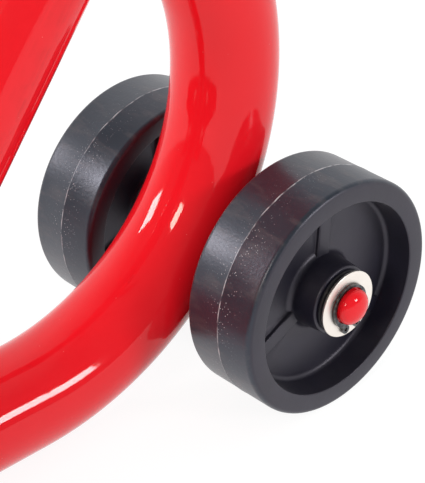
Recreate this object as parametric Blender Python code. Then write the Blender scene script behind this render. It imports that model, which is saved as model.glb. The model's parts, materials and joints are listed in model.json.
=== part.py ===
"""Single-rail A-frame hand truck with a pair of wheels close to one central rail.

The frame is one flat figure of steel tube in the plane X = 0.  A mast leans back from the toe plate to
a crossbar handle.  A bow runs back along the floor, turns up round the heel and meets the mast, and a
brace crosses it.  An axle is welded across the outside of the heel bend, with one wheel on each side.

Metres, +Z up, +Y towards the person pushing, -Y towards the load.  The origin is the middle of the toe
plate's underside, on the floor.
"""

import math

import bmesh
import bpy
from mathutils import Matrix, Vector

# ---------------------------------------------------------------- driving sizes
GAP = 0.0003                    # left between pieces that touch
WELD_GAP = 0.0005               # left where one tube's shaped end is welded to another
CUTTER_REACH = 0.010            # how far a cutter runs past what it cuts

WHEEL_RADIUS = 0.050
WHEEL_WIDTH = 0.034
WHEEL_EDGE_ROUND = 0.00225
WHEEL_INNER_SPACING = 0.0584    # between the two wheels' inner rim faces
RIM_WALL = 0.009                # from the tread to the dished side, at the rim face
RIM_DRAFT = 0.0006              # by which the rim thickens towards the web
RECESS_FILLET = 0.0022
WEB_DEPTH = 0.0122              # of the web below the rim face
SPOKE_DEPTH = 0.0106            # of the spokes' tops below the rim face
SPOKE_WIDTH = 0.007
SPOKE_COUNT = 3
SPOKE_SINK = 0.002              # how far a spoke runs into the hub, the rim and the web
SPOKE_ANGLE = math.radians(86)  # of the first spoke, from +Y towards +Z
HUB_WALL = 0.00365              # round the bush
HUB_FLARE = 0.0012              # by which the hub widens towards the web
HUB_PROUD = 0.0003              # hub end beyond the rim face

AXLE_RADIUS = 0.008
AXLE_DOME = 0.0042
BUSH_WALL = 0.0022
BUSH_LENGTH = 0.013
BUSH_FLANGE = 0.0009
BUSH_FLANGE_REACH = 0.00285     # beyond the sleeve
RUNNING_CLEARANCE = 0.00035     # radial, between bush and axle
WASHER_REACH = 0.006            # beyond the axle
WASHER_THICKNESS = 0.0025
CIRCLIP_THICKNESS = 0.0010
CIRCLIP_BREADTH = 0.0014
CIRCLIP_SEAT = 0.0002           # how far the ring reaches into the groove
CIRCLIP_EAR_REACH = 0.0031      # beyond the ring's outer edge
CIRCLIP_EAR_ANGLE = math.radians(17)    # either side of the ring's opening
CIRCLIP_EAR_HALF = math.radians(12)
CIRCLIP_OPENING = math.radians(-84)     # direction of the opening, from +Y towards +Z
CIRCLIP_HOLE_RADIUS = 0.0008
GROOVE_DEPTH = 0.0006
AXLE_END_LENGTH = 0.0010        # straight axle outside the circlip
SPACER_WALL = 0.0027
SPACER_CLEARANCE = 0.0008       # between the spacer's inner end and the bow

TUBE_RADIUS = 0.0212            # 42.4 mm tube for mast, bow and brace
TUBE_WALL = 0.0026
BEND_RADIUS = 0.1074            # of the heel, on the tube's centre line
BOW_FLOOR_CLEARANCE = 0.0038
BOW_LEAN = math.radians(16.9)   # upper leg, forward from the vertical
BRACE_LEAN = math.radians(37.3)     # back from the vertical
MAST_LEAN = math.radians(10)        # back from the vertical
FOOT_REACH = 0.2215             # from the axle forward to the foot joint
MAST_LENGTH = 1.115
MAST_FOOT = 0.0065              # start of the mast above the floor, along the mast

TOE_WIDTH = 0.300
TOE_DEPTH = 0.200               # flat part, in front of the bend
TOE_THICKNESS = 0.006
TOE_BEND = 0.010                # to the middle of the plate
TOE_UPSTAND = 0.115
TOE_UPSTAND_TOP_WIDTH = 0.150
TOE_SHOULDER_RISE = 0.055       # height of the upstand's sloping shoulders
TOE_CORNER = 0.028
FOOT_PLATE_WIDTH = 0.144
FOOT_PLATE_HEIGHT = 0.088
FOOT_PLATE_THICKNESS = 0.005
FOOT_PLATE_START = 0.026        # above the floor, along the mast
TOE_BOLT_RADIUS = 0.005
TOE_BOLT_SPREAD = 0.050         # from the middle, each side
TOE_BOLT_HEIGHTS = (0.046, 0.094)
TOE_BOLT_WASHER = 0.0016

REST_WIDTH = 0.290
REST_HEIGHT = 0.055
REST_THICKNESS = 0.004
REST_CURVE = 0.240              # radius of the load side
REST_BELOW_BOW = 0.169          # lower rest, below the joint of bow and mast
REST_ABOVE_BOW = 0.231          # upper rest, above it
REST_BOLT_RADIUS = 0.004
REST_BOLT_SPREAD = 0.0135       # above and below the rest's middle
REST_BOLT_WASHER = 0.0014

HEAD_RATIO = 2.0                # radius of a bolt's head and of a washer, to the bolt's own radius
HEAD_DOME_RATIO = 0.9           # height of a bolt's head
NUT_HEIGHT_RATIO = 1.6
NUT_CORNER_RATIO = 1.9          # from a nut's middle to its corner, to its bore's radius
BOLT_TAIL = 0.002               # bolt beyond its nut

BAR_RADIUS = 0.014
BAR_WALL = 0.002
BAR_BELOW_TOP = 0.035           # from the mast's top to the middle of the bar
BAR_MIDDLE = 0.170
BAR_BEND_RADIUS = 0.050
BAR_SWEEP = math.radians(32)
BAR_END = 0.126
GRIP_RADIUS = 0.0170
GRIP_LENGTH = 0.118
GRIP_END_WALL = 0.004
GRIP_COLLAR = 0.003             # collar beyond the grip, at its mouth
GRIP_COLLAR_WIDTH = 0.004
GRIP_END_ROUND = 0.004
CAP_FLANGE = 0.0035
CAP_ROUND = 0.0025
CAP_DEPTH = 0.014

TUBE_SIDES = 24
ROUND_SIDES = 24
WHEEL_SIDES = 40
SMALL_SIDES = 12
HEEL_STEPS = 14
COPE_TWIST = 0.37               # of a side, so that no two tubes' edges coincide


# ---------------------------------------------------------------- places worked out from the sizes
def meeting_point(start, direction, other_start, other_direction):
    """Where two lines in the frame's plane cross."""
    offset = other_start - start
    across = direction.y * other_direction.z - direction.z * other_direction.y
    along = (offset.y * other_direction.z - offset.z * other_direction.y) / across
    return start + along * direction


LEG_HEIGHT = BOW_FLOOR_CLEARANCE + TUBE_RADIUS
HEEL_CENTRE_HEIGHT = LEG_HEIGHT + BEND_RADIUS
AXLE_OFFSET = BEND_RADIUS + TUBE_RADIUS + GAP + AXLE_RADIUS
AXLE_DROP = HEEL_CENTRE_HEIGHT - WHEEL_RADIUS
HEEL_CENTRE_REACH = math.sqrt(AXLE_OFFSET ** 2 - AXLE_DROP ** 2)

MAST_FLOOR_REACH = FOOT_REACH + LEG_HEIGHT * math.tan(MAST_LEAN)
TOE_MIDDLE_DEPTH = TUBE_RADIUS + GAP + FOOT_PLATE_THICKNESS + GAP + TOE_THICKNESS / 2
TOE_BEND_TURN = math.pi / 2 - MAST_LEAN
TOE_CORNER_REACH = (MAST_FLOOR_REACH + TOE_MIDDLE_DEPTH / math.cos(MAST_LEAN)
                    - TOE_THICKNESS / 2 * math.tan(MAST_LEAN))
TOE_BEND_REACH = TOE_CORNER_REACH + TOE_BEND * math.tan(TOE_BEND_TURN / 2)
AXLE_Y = TOE_BEND_REACH + TOE_DEPTH / 2     # the toe plate's middle is at Y = 0

AXLE = Vector((0, AXLE_Y, WHEEL_RADIUS))
FOOT = Vector((0, AXLE_Y - FOOT_REACH, LEG_HEIGHT))
HEEL_CENTRE = Vector((0, AXLE_Y - HEEL_CENTRE_REACH, HEEL_CENTRE_HEIGHT))
MAST_BASE = Vector((0, AXLE_Y - MAST_FLOOR_REACH, 0))
MAST_DIRECTION = Vector((0, math.sin(MAST_LEAN), math.cos(MAST_LEAN)))
BRACE_DIRECTION = Vector((0, math.sin(BRACE_LEAN), math.cos(BRACE_LEAN)))
BOW_DIRECTION = Vector((0, -math.sin(BOW_LEAN), math.cos(BOW_LEAN)))
HEEL_END = HEEL_CENTRE + BEND_RADIUS * Vector((0, math.cos(BOW_LEAN), math.sin(BOW_LEAN)))
BOW_TOP = meeting_point(HEEL_END, BOW_DIRECTION, FOOT, MAST_DIRECTION)
BOW_TOP_HEIGHT = (BOW_TOP - MAST_BASE).dot(MAST_DIRECTION)
REST_HEIGHTS = {"lower": BOW_TOP_HEIGHT - REST_BELOW_BOW, "upper": BOW_TOP_HEIGHT + REST_ABOVE_BOW}
BAR_HEIGHT = MAST_LENGTH - BAR_BELOW_TOP

BUSH_BORE = AXLE_RADIUS + RUNNING_CLEARANCE
BUSH_RADIUS = BUSH_BORE + BUSH_WALL
BUSH_FLANGE_RADIUS = BUSH_RADIUS + BUSH_FLANGE_REACH
HUB_BORE = BUSH_RADIUS + GAP
HUB_RADIUS = HUB_BORE + HUB_WALL
HUB_BASE_RADIUS = HUB_RADIUS + HUB_FLARE
RECESS_RADIUS = WHEEL_RADIUS - RIM_WALL
WASHER_RADIUS = AXLE_RADIUS + WASHER_REACH
CIRCLIP_BORE = AXLE_RADIUS - CIRCLIP_SEAT
CIRCLIP_RADIUS = CIRCLIP_BORE + CIRCLIP_BREADTH
SPACER_RADIUS = AXLE_RADIUS + GAP + SPACER_WALL
SPACER_DROP = SPACER_RADIUS - AXLE_RADIUS - GAP + SPACER_CLEARANCE
SPACER_INNER_X = math.sqrt(TUBE_RADIUS ** 2 - (TUBE_RADIUS - SPACER_DROP) ** 2)

WHEEL_X = WHEEL_INNER_SPACING / 2 + WHEEL_WIDTH / 2
HUB_END = WHEEL_WIDTH / 2 + HUB_PROUD
BUSH_END = HUB_END + GAP + BUSH_FLANGE
WASHER_X = WHEEL_X + BUSH_END + GAP
CIRCLIP_X = WASHER_X + WASHER_THICKNESS + GAP
AXLE_HALF = CIRCLIP_X + CIRCLIP_THICKNESS + GAP + AXLE_END_LENGTH

RED = (0.776, 0.024, 0.034)
BLACK = (0.012, 0.011, 0.014)
ZINC = (0.72, 0.70, 0.68)
STEEL_DARK = (0.09, 0.10, 0.10)
NYLON = (0.05, 0.05, 0.055)
GRIP_BLACK = (0.018, 0.018, 0.018)


# ---------------------------------------------------------------- helpers
def material(name, colour, metallic, roughness):
    made = bpy.data.materials.new(name)
    made.use_nodes = True
    shader = made.node_tree.nodes["Principled BSDF"]
    shader.inputs["Base Color"].default_value = (*colour, 1)
    shader.inputs["Metallic"].default_value = metallic
    shader.inputs["Roughness"].default_value = roughness
    made.diffuse_color = (*colour, 1)
    return made


def add_object(name, mesh_builder, finish, parent=None, location=(0, 0, 0), rotation=(0, 0, 0)):
    """Makes one named piece from a bmesh, closed and facing out, with its own material."""
    bmesh.ops.remove_doubles(mesh_builder, verts=mesh_builder.verts, dist=1e-6)
    bmesh.ops.recalc_face_normals(mesh_builder, faces=mesh_builder.faces)
    mesh = bpy.data.meshes.new(name)
    mesh_builder.to_mesh(mesh)
    mesh_builder.free()
    mesh.shade_smooth()
    mesh.set_sharp_from_angle(angle=math.radians(35))
    made = bpy.data.objects.new(name, mesh)
    bpy.context.collection.objects.link(made)
    if finish:
        mesh.materials.append(material(name + "_finish", *finish))
    made.parent = parent
    made.location = location
    made.rotation_euler = rotation
    return made


def add_cutter(name, mesh_builder, parent=None, location=(0, 0, 0), rotation=(0, 0, 0)):
    made = add_object(name, mesh_builder, None, parent, location, rotation)
    made.hide_render = True
    made.display_type = "WIRE"
    return made


def combine(piece, other, operation):
    step = piece.modifiers.new(operation.lower() + "_" + other.name, "BOOLEAN")
    step.operation = operation
    step.object = other
    step.solver = "EXACT"


def lathe(profile, sides):
    """Turns a closed outline of (x, radius) points round the X axis."""
    shape = bmesh.new()
    points = [shape.verts.new((x, 0, radius)) for x, radius in profile]
    edges = [shape.edges.new(pair) for pair in zip(points, points[1:] + points[:1])]
    bmesh.ops.spin(shape, geom=points + edges, axis=(1, 0, 0), cent=(0, 0, 0), angle=math.tau,
                   steps=sides, use_merge=True)
    return shape


def turned_solid(profile, sides):
    """Turns an open outline of (x, radius) points that starts and ends on the X axis."""
    shape = bmesh.new()
    points = [shape.verts.new((x, 0, radius)) for x, radius in profile]
    edges = [shape.edges.new(pair) for pair in zip(points, points[1:])]
    bmesh.ops.spin(shape, geom=points + edges, axis=(1, 0, 0), cent=(0, 0, 0), angle=math.tau,
                   steps=sides, use_merge=True)
    bmesh.ops.remove_doubles(shape, verts=shape.verts, dist=1e-6)
    return shape


def cross_section(radius, centre, direction, sides, twist=0.0):
    """Corners of a circle across a direction; the first lies towards +X where it can, or twisted on
    by a fraction of a side."""
    direction = Vector(direction).normalized()
    across = Vector((1, 0, 0))
    if abs(direction.x) > 0.1:
        across = Vector((0, 0, 1)).cross(direction).normalized()
    up = direction.cross(across)
    corners = []
    for step in range(sides):
        angle = math.tau * (step + twist) / sides
        corners.append(Vector(centre) + radius * (math.cos(angle) * across + math.sin(angle) * up))
    return corners


def rod(radius, start, end, sides, twist=0.0):
    """A plain solid cylinder between two points."""
    way = Vector(end) - Vector(start)
    shape = bmesh.new()
    corners = [shape.verts.new(corner) for corner in cross_section(radius, start, way, sides, twist)]
    run(shape, [shape.faces.new(corners)], way)
    bmesh.ops.recalc_face_normals(shape, faces=shape.faces)
    return shape


def block(low, high):
    shape = bmesh.new()
    size = Vector(high) - Vector(low)
    middle = (Vector(high) + Vector(low)) / 2
    bmesh.ops.create_cube(shape, size=1, matrix=Matrix.Translation(middle) @ Matrix.Diagonal((*size, 1)))
    return shape


def merge_shapes(shapes):
    """Puts several separate shapes into one bmesh, for use as a cutter."""
    whole = bmesh.new()
    for shape in shapes:
        scrap = bpy.data.meshes.new("scrap")
        shape.to_mesh(scrap)
        shape.free()
        whole.from_mesh(scrap)
        bpy.data.meshes.remove(scrap)
    return whole


def ring_section(shape, outer, inner, centre, direction, sides):
    """The flat ring that a tube starts from."""
    loops = [[shape.verts.new(corner) for corner in cross_section(radius, centre, direction, sides)]
             for radius in (outer, inner)]
    faces = []
    for step in range(sides):
        after = (step + 1) % sides
        corners = (loops[0][step], loops[0][after], loops[1][after], loops[1][step])
        faces.append(shape.faces.new(corners))
    return faces


def grow(shape, faces):
    """Extrudes the leading faces, and removes the ones they grew from when those lie inside the body."""
    walled = any(other not in faces for face in faces for edge in face.edges for other in edge.link_faces)
    grown = bmesh.ops.extrude_face_region(shape, geom=faces)["geom"]
    if walled:
        bmesh.ops.delete(shape, geom=faces, context="FACES_ONLY")
    corners = [item for item in grown if isinstance(item, bmesh.types.BMVert)]
    leading = [item for item in grown if isinstance(item, bmesh.types.BMFace)]
    return corners, leading


def run(shape, faces, move):
    """Extrudes the leading faces straight by a vector."""
    corners, leading = grow(shape, faces)
    bmesh.ops.translate(shape, vec=move, verts=corners)
    return leading


def turn(shape, faces, centre, axis, angle, steps):
    """Extrudes the leading faces round an axis."""
    for _ in range(steps):
        corners, faces = grow(shape, faces)
        bmesh.ops.rotate(shape, cent=centre, matrix=Matrix.Rotation(angle / steps, 3, axis), verts=corners)
    return faces


def straight_tube(outer, wall, start, end, sides):
    shape = bmesh.new()
    start = Vector(start)
    end = Vector(end)
    faces = ring_section(shape, outer, outer - wall, start, end - start, sides)
    run(shape, faces, end - start)
    return shape


# ---------------------------------------------------------------- the frame
def make_mast(mast_frame):
    shape = straight_tube(TUBE_RADIUS, TUBE_WALL, (0, 0, MAST_FOOT), (0, 0, MAST_LENGTH), TUBE_SIDES)
    mast = add_object("mast_tube", shape, (RED, 0.0, 0.25), mast_frame)
    holes = [rod(BAR_RADIUS + GAP, (-2 * TUBE_RADIUS, 0, BAR_HEIGHT), (2 * TUBE_RADIUS, 0, BAR_HEIGHT),
                 ROUND_SIDES)]
    for height in REST_HEIGHTS.values():
        for side in (-1, 1):
            spot = height + side * REST_BOLT_SPREAD
            holes.append(rod(REST_BOLT_RADIUS + GAP, (0, -2 * TUBE_RADIUS, spot), (0, 2 * TUBE_RADIUS, spot),
                             SMALL_SIDES))
    combine(mast, add_cutter("cut_mast_holes", merge_shapes(holes), mast_frame), "DIFFERENCE")


def make_bow():
    """Front end at the mast's foot, back along the floor, round the heel and up to the mast."""
    shape = bmesh.new()
    heel_start = Vector((0, HEEL_CENTRE.y, LEG_HEIGHT))
    faces = ring_section(shape, TUBE_RADIUS, TUBE_RADIUS - TUBE_WALL, FOOT, heel_start - FOOT, TUBE_SIDES)
    faces = run(shape, faces, heel_start - FOOT)
    faces = turn(shape, faces, HEEL_CENTRE, "X", math.pi / 2 + BOW_LEAN, HEEL_STEPS)
    run(shape, faces, BOW_TOP - HEEL_END)
    bow = add_object("rear_bow", shape, (RED, 0.0, 0.25))
    reach = MAST_DIRECTION * 5 * TUBE_RADIUS
    cutters = [cope(FOOT - reach, FOOT + reach), cope(BOW_TOP - 2 * reach, BOW_TOP + 2 * reach)]
    combine(bow, add_cutter("cut_bow_ends", merge_shapes(cutters)), "DIFFERENCE")


def cope(start, end):
    """A cutter that shapes a tube's end to seat on another tube, with the weld's gap."""
    return rod(TUBE_RADIUS + WELD_GAP, start, end, TUBE_SIDES, COPE_TWIST)


def make_brace():
    top = meeting_point(FOOT, BRACE_DIRECTION, HEEL_END, BOW_DIRECTION)
    shape = straight_tube(TUBE_RADIUS, TUBE_WALL, FOOT, top, TUBE_SIDES)
    brace = add_object("diagonal_brace", shape, (RED, 0.0, 0.25))
    reach = 4 * TUBE_RADIUS
    level = Vector((0, 1, 0))
    mast_side = cope(FOOT - MAST_DIRECTION * reach, FOOT + MAST_DIRECTION * 2 * reach)
    leg_side = cope(FOOT - level * reach, FOOT + level * reach)
    top_side = cope(top - BOW_DIRECTION * reach, top + BOW_DIRECTION * reach)
    combine(brace, add_cutter("cut_brace_mast", mast_side), "DIFFERENCE")
    combine(brace, add_cutter("cut_brace_leg", leg_side), "DIFFERENCE")
    combine(brace, add_cutter("cut_brace_top", top_side), "DIFFERENCE")


# ---------------------------------------------------------------- the toe plate and its fasteners
def make_toe_plate():
    """A plate flat on the floor, bent up at the back to lie along the mast."""
    shape = bmesh.new()
    front = -TOE_DEPTH / 2
    half = TOE_WIDTH / 2
    corners = ((-half, front, 0), (half, front, 0), (half, front, TOE_THICKNESS),
               (-half, front, TOE_THICKNESS))
    faces = [shape.faces.new([shape.verts.new(corner) for corner in corners])]
    faces = run(shape, faces, (0, TOE_DEPTH, 0))
    bend_centre = (0, TOE_DEPTH / 2, TOE_THICKNESS / 2 + TOE_BEND)
    faces = turn(shape, faces, bend_centre, "X", TOE_BEND_TURN, 6)
    run(shape, faces, MAST_DIRECTION * TOE_UPSTAND)
    front_corners = [edge for edge in shape.edges
                     if all(abs(corner.co.y - front) < 1e-6 for corner in edge.verts)
                     and abs(edge.verts[0].co.x - edge.verts[1].co.x) < 1e-6]
    bmesh.ops.bevel(shape, geom=front_corners, offset=TOE_CORNER, segments=5, profile=0.5,
                    affect="EDGES")
    return add_object("toe_plate", shape, (RED, 0.0, 0.35))


def trim_toe_plate(plate, mast_frame):
    """Slopes the upstand's shoulders and drills its bolt holes."""
    base = FOOT_PLATE_START
    top = base + TOE_UPSTAND + CUTTER_REACH
    wide = TOE_WIDTH / 2 + CUTTER_REACH
    inner = TOE_UPSTAND_TOP_WIDTH / 2
    near = -TOE_MIDDLE_DEPTH - 2 * TOE_THICKNESS
    far = -TOE_MIDDLE_DEPTH + 2 * TOE_THICKNESS
    shoulders = []
    for side in (-1, 1):
        shape = bmesh.new()
        outline = ((wide, base), (wide, top), (inner, top), (inner, base + TOE_SHOULDER_RISE))
        face = shape.faces.new([shape.verts.new((side * x, near, z)) for x, z in outline])
        run(shape, [face], (0, far - near, 0))
        bmesh.ops.recalc_face_normals(shape, faces=shape.faces)
        shoulders.append(shape)
    combine(plate, add_cutter("cut_toe_shoulders", merge_shapes(shoulders), mast_frame), "DIFFERENCE")
    combine(plate, add_cutter("cut_toe_holes", merge_shapes(toe_bolt_holes()), mast_frame), "DIFFERENCE")


def toe_bolt_places():
    return [(side * TOE_BOLT_SPREAD, height) for height in TOE_BOLT_HEIGHTS for side in (-1, 1)]


def toe_bolt_holes():
    reach = TOE_MIDDLE_DEPTH + TOE_THICKNESS / 2 + CUTTER_REACH
    return [rod(TOE_BOLT_RADIUS + GAP, (x, -reach, z), (x, -TUBE_RADIUS + CUTTER_REACH, z), SMALL_SIDES)
            for x, z in toe_bolt_places()]


def make_foot_plate(mast_frame):
    back = -TUBE_RADIUS - GAP
    half = FOOT_PLATE_WIDTH / 2
    shape = block((-half, back - FOOT_PLATE_THICKNESS, FOOT_PLATE_START),
                  (half, back, FOOT_PLATE_START + FOOT_PLATE_HEIGHT))
    plate = add_object("mast_foot_plate", shape, (RED, 0.0, 0.3), mast_frame)
    combine(plate, add_cutter("cut_foot_plate", merge_shapes(toe_bolt_holes()), mast_frame), "DIFFERENCE")


def make_bolt(name, parent, place, radius, grip):
    """A domed bolt pointing back along +Y; place is the load side of what it clamps."""
    head = radius * HEAD_RATIO
    dome = radius * HEAD_DOME_RATIO
    outline = [(-dome, 0), (-dome * 0.8, head * 0.55), (-GAP - dome * 0.15, head), (-GAP, head),
               (-GAP, radius), (grip, radius), (grip, 0)]
    add_object(name, turned_solid(outline, SMALL_SIDES), (ZINC, 1.0, 0.35), parent, place,
               (0, 0, math.pi / 2))


def make_washer(name, parent, place, radius, thickness):
    """A flat ring for a bolt of the given radius, its bore along +Y."""
    outline = [(0, radius + GAP), (0, radius * HEAD_RATIO), (thickness, radius * HEAD_RATIO),
               (thickness, radius + GAP)]
    add_object(name, lathe(outline, SMALL_SIDES), (ZINC, 1.0, 0.3), parent, place, (0, 0, math.pi / 2))


def make_nut(name, parent, place, radius, thickness):
    """A hexagon nut for a bolt of the given radius, its bore along +Y."""
    bore = radius + GAP
    corner = bore * NUT_CORNER_RATIO
    flat = corner * math.cos(math.pi / 6)
    shape = bmesh.new()
    inside = [shape.verts.new(spot) for spot in cross_section(bore, (0, 0, 0), (1, 0, 0), 12)]
    outside = []
    for number, spot in enumerate(inside):
        reach = flat if number % 2 else corner
        outside.append(shape.verts.new(spot.co * reach / bore))
    faces = []
    for number in range(12):
        after = (number + 1) % 12
        faces.append(shape.faces.new((outside[number], outside[after], inside[after], inside[number])))
    run(shape, faces, (thickness, 0, 0))
    add_object(name, shape, (ZINC, 1.0, 0.35), parent, place, (0, 0, math.pi / 2))


def make_fastener(names, parent, x, z, face, back, radius, washer):
    """A bolt through what lies between face and back, with its washer and nut behind."""
    bolt_name, washer_name, nut_name = names
    nut = radius * NUT_HEIGHT_RATIO
    grip = back - face + washer + nut + 3 * GAP + BOLT_TAIL
    make_bolt(bolt_name, parent, (x, face, z), radius, grip)
    make_washer(washer_name, parent, (x, back + GAP, z), radius, washer)
    make_nut(nut_name, parent, (x, back + 2 * GAP + washer, z), radius, nut)


def make_toe_fasteners(mast_frame):
    face = -TOE_MIDDLE_DEPTH - TOE_THICKNESS / 2
    back = -TUBE_RADIUS - GAP
    for number, (x, z) in enumerate(toe_bolt_places(), 1):
        names = [kind + str(number) for kind in ("toe_bolt_", "toe_washer_", "toe_nut_")]
        make_fastener(names, mast_frame, x, z, face, back, TOE_BOLT_RADIUS, TOE_BOLT_WASHER)


# ---------------------------------------------------------------- the load rests
def make_load_rest(place, height, mast_frame):
    """A curved strip across the mast, hollow towards the load."""
    name = "load_rest_" + place
    face = -TUBE_RADIUS - GAP - REST_THICKNESS
    centre = (0, face - REST_CURVE, 0)
    half_turn = REST_WIDTH / 2 / REST_CURVE
    outer = REST_CURVE + REST_THICKNESS
    low = height - REST_HEIGHT / 2
    high = height + REST_HEIGHT / 2
    shape = bmesh.new()
    end_section = []
    for radius, z in ((REST_CURVE, low), (outer, low), (outer, high), (REST_CURVE, high)):
        corner = (radius * math.sin(half_turn), centre[1] + radius * math.cos(half_turn), z)
        end_section.append(shape.verts.new(corner))
    turn(shape, [shape.faces.new(end_section)], centre, "Z", 2 * half_turn, 14)
    rest = add_object(name, shape, (RED, 0.0, 0.3), mast_frame)
    spots = [height + side * REST_BOLT_SPREAD for side in (-1, 1)]
    holes = [rod(REST_BOLT_RADIUS + GAP, (0, face - CUTTER_REACH, z),
                 (0, face + REST_THICKNESS + CUTTER_REACH, z), SMALL_SIDES) for z in spots]
    combine(rest, add_cutter("cut_" + name, merge_shapes(holes), mast_frame), "DIFFERENCE")
    head = REST_BOLT_RADIUS * HEAD_RATIO
    seat = face - REST_CURVE + math.sqrt(REST_CURVE ** 2 - head ** 2)
    for number, z in enumerate(spots, 1):
        tail = "%s_%d" % (place, number)
        names = [kind + tail for kind in ("rest_bolt_", "rest_washer_", "rest_nut_")]
        make_fastener(names, mast_frame, 0, z, seat, TUBE_RADIUS, REST_BOLT_RADIUS, REST_BOLT_WASHER)


# ---------------------------------------------------------------- the handle
def make_handlebar(mast_frame):
    """A bar through the mast, its two ends swept back."""
    shape = bmesh.new()
    middle = BAR_MIDDLE / 2
    faces = ring_section(shape, BAR_RADIUS, BAR_RADIUS - BAR_WALL, (0, 0, BAR_HEIGHT), (1, 0, 0), 20)
    faces = run(shape, faces, (middle, 0, 0))
    faces = turn(shape, faces, (middle, BAR_BEND_RADIUS, BAR_HEIGHT), "Z", BAR_SWEEP, 5)
    faces = run(shape, faces, (BAR_END * math.cos(BAR_SWEEP), BAR_END * math.sin(BAR_SWEEP), 0))
    bmesh.ops.recalc_face_normals(shape, faces=shape.faces)
    start = [face for face in shape.faces if all(abs(corner.co.x) < 1e-7 for corner in face.verts)]
    bmesh.ops.delete(shape, geom=start, context="FACES_ONLY")
    bar = add_object("handlebar", shape, (RED, 0.0, 0.25), mast_frame)
    copy = bar.modifiers.new("other_half", "MIRROR")
    copy.use_axis = (True, False, False)
    copy.merge_threshold = 0.0001


def make_grips(mast_frame):
    """A closed rubber sleeve on each end of the bar."""
    bend = BAR_BEND_RADIUS
    end_x = BAR_MIDDLE / 2 + bend * math.sin(BAR_SWEEP) + BAR_END * math.cos(BAR_SWEEP)
    end_y = bend * (1 - math.cos(BAR_SWEEP)) + BAR_END * math.sin(BAR_SWEEP)
    bore = BAR_RADIUS + GAP
    tip = GAP + GRIP_END_WALL
    mouth = tip - GRIP_LENGTH
    collar = GRIP_RADIUS + GRIP_COLLAR
    collar_end = mouth + GRIP_COLLAR_WIDTH
    outline = [(GAP, 0), (GAP, bore), (mouth, bore), (mouth, collar), (collar_end, collar),
               (collar_end + GRIP_COLLAR / 2, GRIP_RADIUS), (tip - GRIP_END_ROUND, GRIP_RADIUS),
               (tip - GRIP_END_ROUND / 4, GRIP_RADIUS - GRIP_END_ROUND / 3),
               (tip, GRIP_RADIUS - GRIP_END_ROUND), (tip, 0)]
    for name, side in (("left", -1), ("right", 1)):
        heading = BAR_SWEEP if side > 0 else math.pi - BAR_SWEEP
        add_object("grip_" + name, turned_solid(outline, ROUND_SIDES), (GRIP_BLACK, 0.0, 0.7), mast_frame,
                   (side * end_x, end_y, BAR_HEIGHT), (0, 0, heading))


def make_mast_cap(mast_frame):
    """A plastic plug in the open top of the mast."""
    inner = TUBE_RADIUS - TUBE_WALL - GAP
    start = MAST_LENGTH - CAP_DEPTH
    flange = MAST_LENGTH + GAP
    top = flange + CAP_FLANGE
    outline = [(start, 0), (start, inner), (flange, inner), (flange, TUBE_RADIUS),
               (top - CAP_ROUND / 2, TUBE_RADIUS), (top, TUBE_RADIUS - CAP_ROUND), (top, 0)]
    add_object("mast_cap", turned_solid(outline, TUBE_SIDES), (GRIP_BLACK, 0.0, 0.45), mast_frame,
               (0, 0, 0), (0, -math.pi / 2, 0))


# ---------------------------------------------------------------- axle and wheels
def make_axle(parent):
    """One rod welded across the heel, grooved for the circlips and domed at both ends."""
    groove_near = CIRCLIP_X - GAP
    groove_far = CIRCLIP_X + CIRCLIP_THICKNESS + GAP
    groove = AXLE_RADIUS - GROOVE_DEPTH
    half = [(groove_near, AXLE_RADIUS), (groove_near, groove), (groove_far, groove),
            (groove_far, AXLE_RADIUS), (AXLE_HALF, AXLE_RADIUS)]
    for step in (1, 2, 3):
        angle = math.pi / 2 * step / 4
        half.append((AXLE_HALF + AXLE_DOME * math.sin(angle), AXLE_RADIUS * math.cos(angle)))
    half.append((AXLE_HALF + AXLE_DOME, 0))
    other = [(-x, radius) for x, radius in reversed(half)]
    add_object("axle_rod", turned_solid(other + half, ROUND_SIDES), (RED, 0.0, 0.25), parent)


def wheel_outline():
    """Half section of the wheel, as (x, radius) points in a closed loop."""
    face = WHEEL_WIDTH / 2
    web = face - WEB_DEPTH
    wall = RECESS_RADIUS - RIM_DRAFT
    side = [(HUB_END, HUB_BORE), (HUB_END, HUB_RADIUS), (web + RECESS_FILLET, HUB_BASE_RADIUS),
            (web, HUB_BASE_RADIUS + RECESS_FILLET), (web, wall - RECESS_FILLET),
            (web + RECESS_FILLET, wall), (face, RECESS_RADIUS)]
    for step in (0, 1, 2):
        angle = math.pi / 4 * step
        side.append((face - WHEEL_EDGE_ROUND * (1 - math.cos(angle)),
                     WHEEL_RADIUS - WHEEL_EDGE_ROUND * (1 - math.sin(angle))))
    return side + [(-x, radius) for x, radius in reversed(side)]


def spoke_blocks():
    face = WHEEL_WIDTH / 2
    web = face - WEB_DEPTH
    blocks = []
    for side in (-1, 1):
        for number in range(SPOKE_COUNT):
            low, high = sorted((side * (web - SPOKE_SINK), side * (face - SPOKE_DEPTH)))
            shape = block((low, HUB_RADIUS - SPOKE_SINK, -SPOKE_WIDTH / 2),
                          (high, RECESS_RADIUS + SPOKE_SINK, SPOKE_WIDTH / 2))
            angle = SPOKE_ANGLE + math.tau * number / SPOKE_COUNT
            bmesh.ops.rotate(shape, cent=(0, 0, 0), matrix=Matrix.Rotation(angle, 3, "X"), verts=shape.verts)
            blocks.append(shape)
    return blocks


def make_bush(name, parent, side):
    """A flanged sleeve pressed into one end of the hub; side is the way its flange faces."""
    inner_end = HUB_END - BUSH_LENGTH
    flange = HUB_END + GAP
    outline = [(inner_end, BUSH_BORE), (inner_end, BUSH_RADIUS), (flange, BUSH_RADIUS),
               (flange, BUSH_FLANGE_RADIUS), (BUSH_END, BUSH_FLANGE_RADIUS), (BUSH_END, BUSH_BORE)]
    outline = [(side * x, radius) for x, radius in outline]
    add_object(name, lathe(outline, ROUND_SIDES), (NYLON, 0.0, 0.4), parent)


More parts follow.
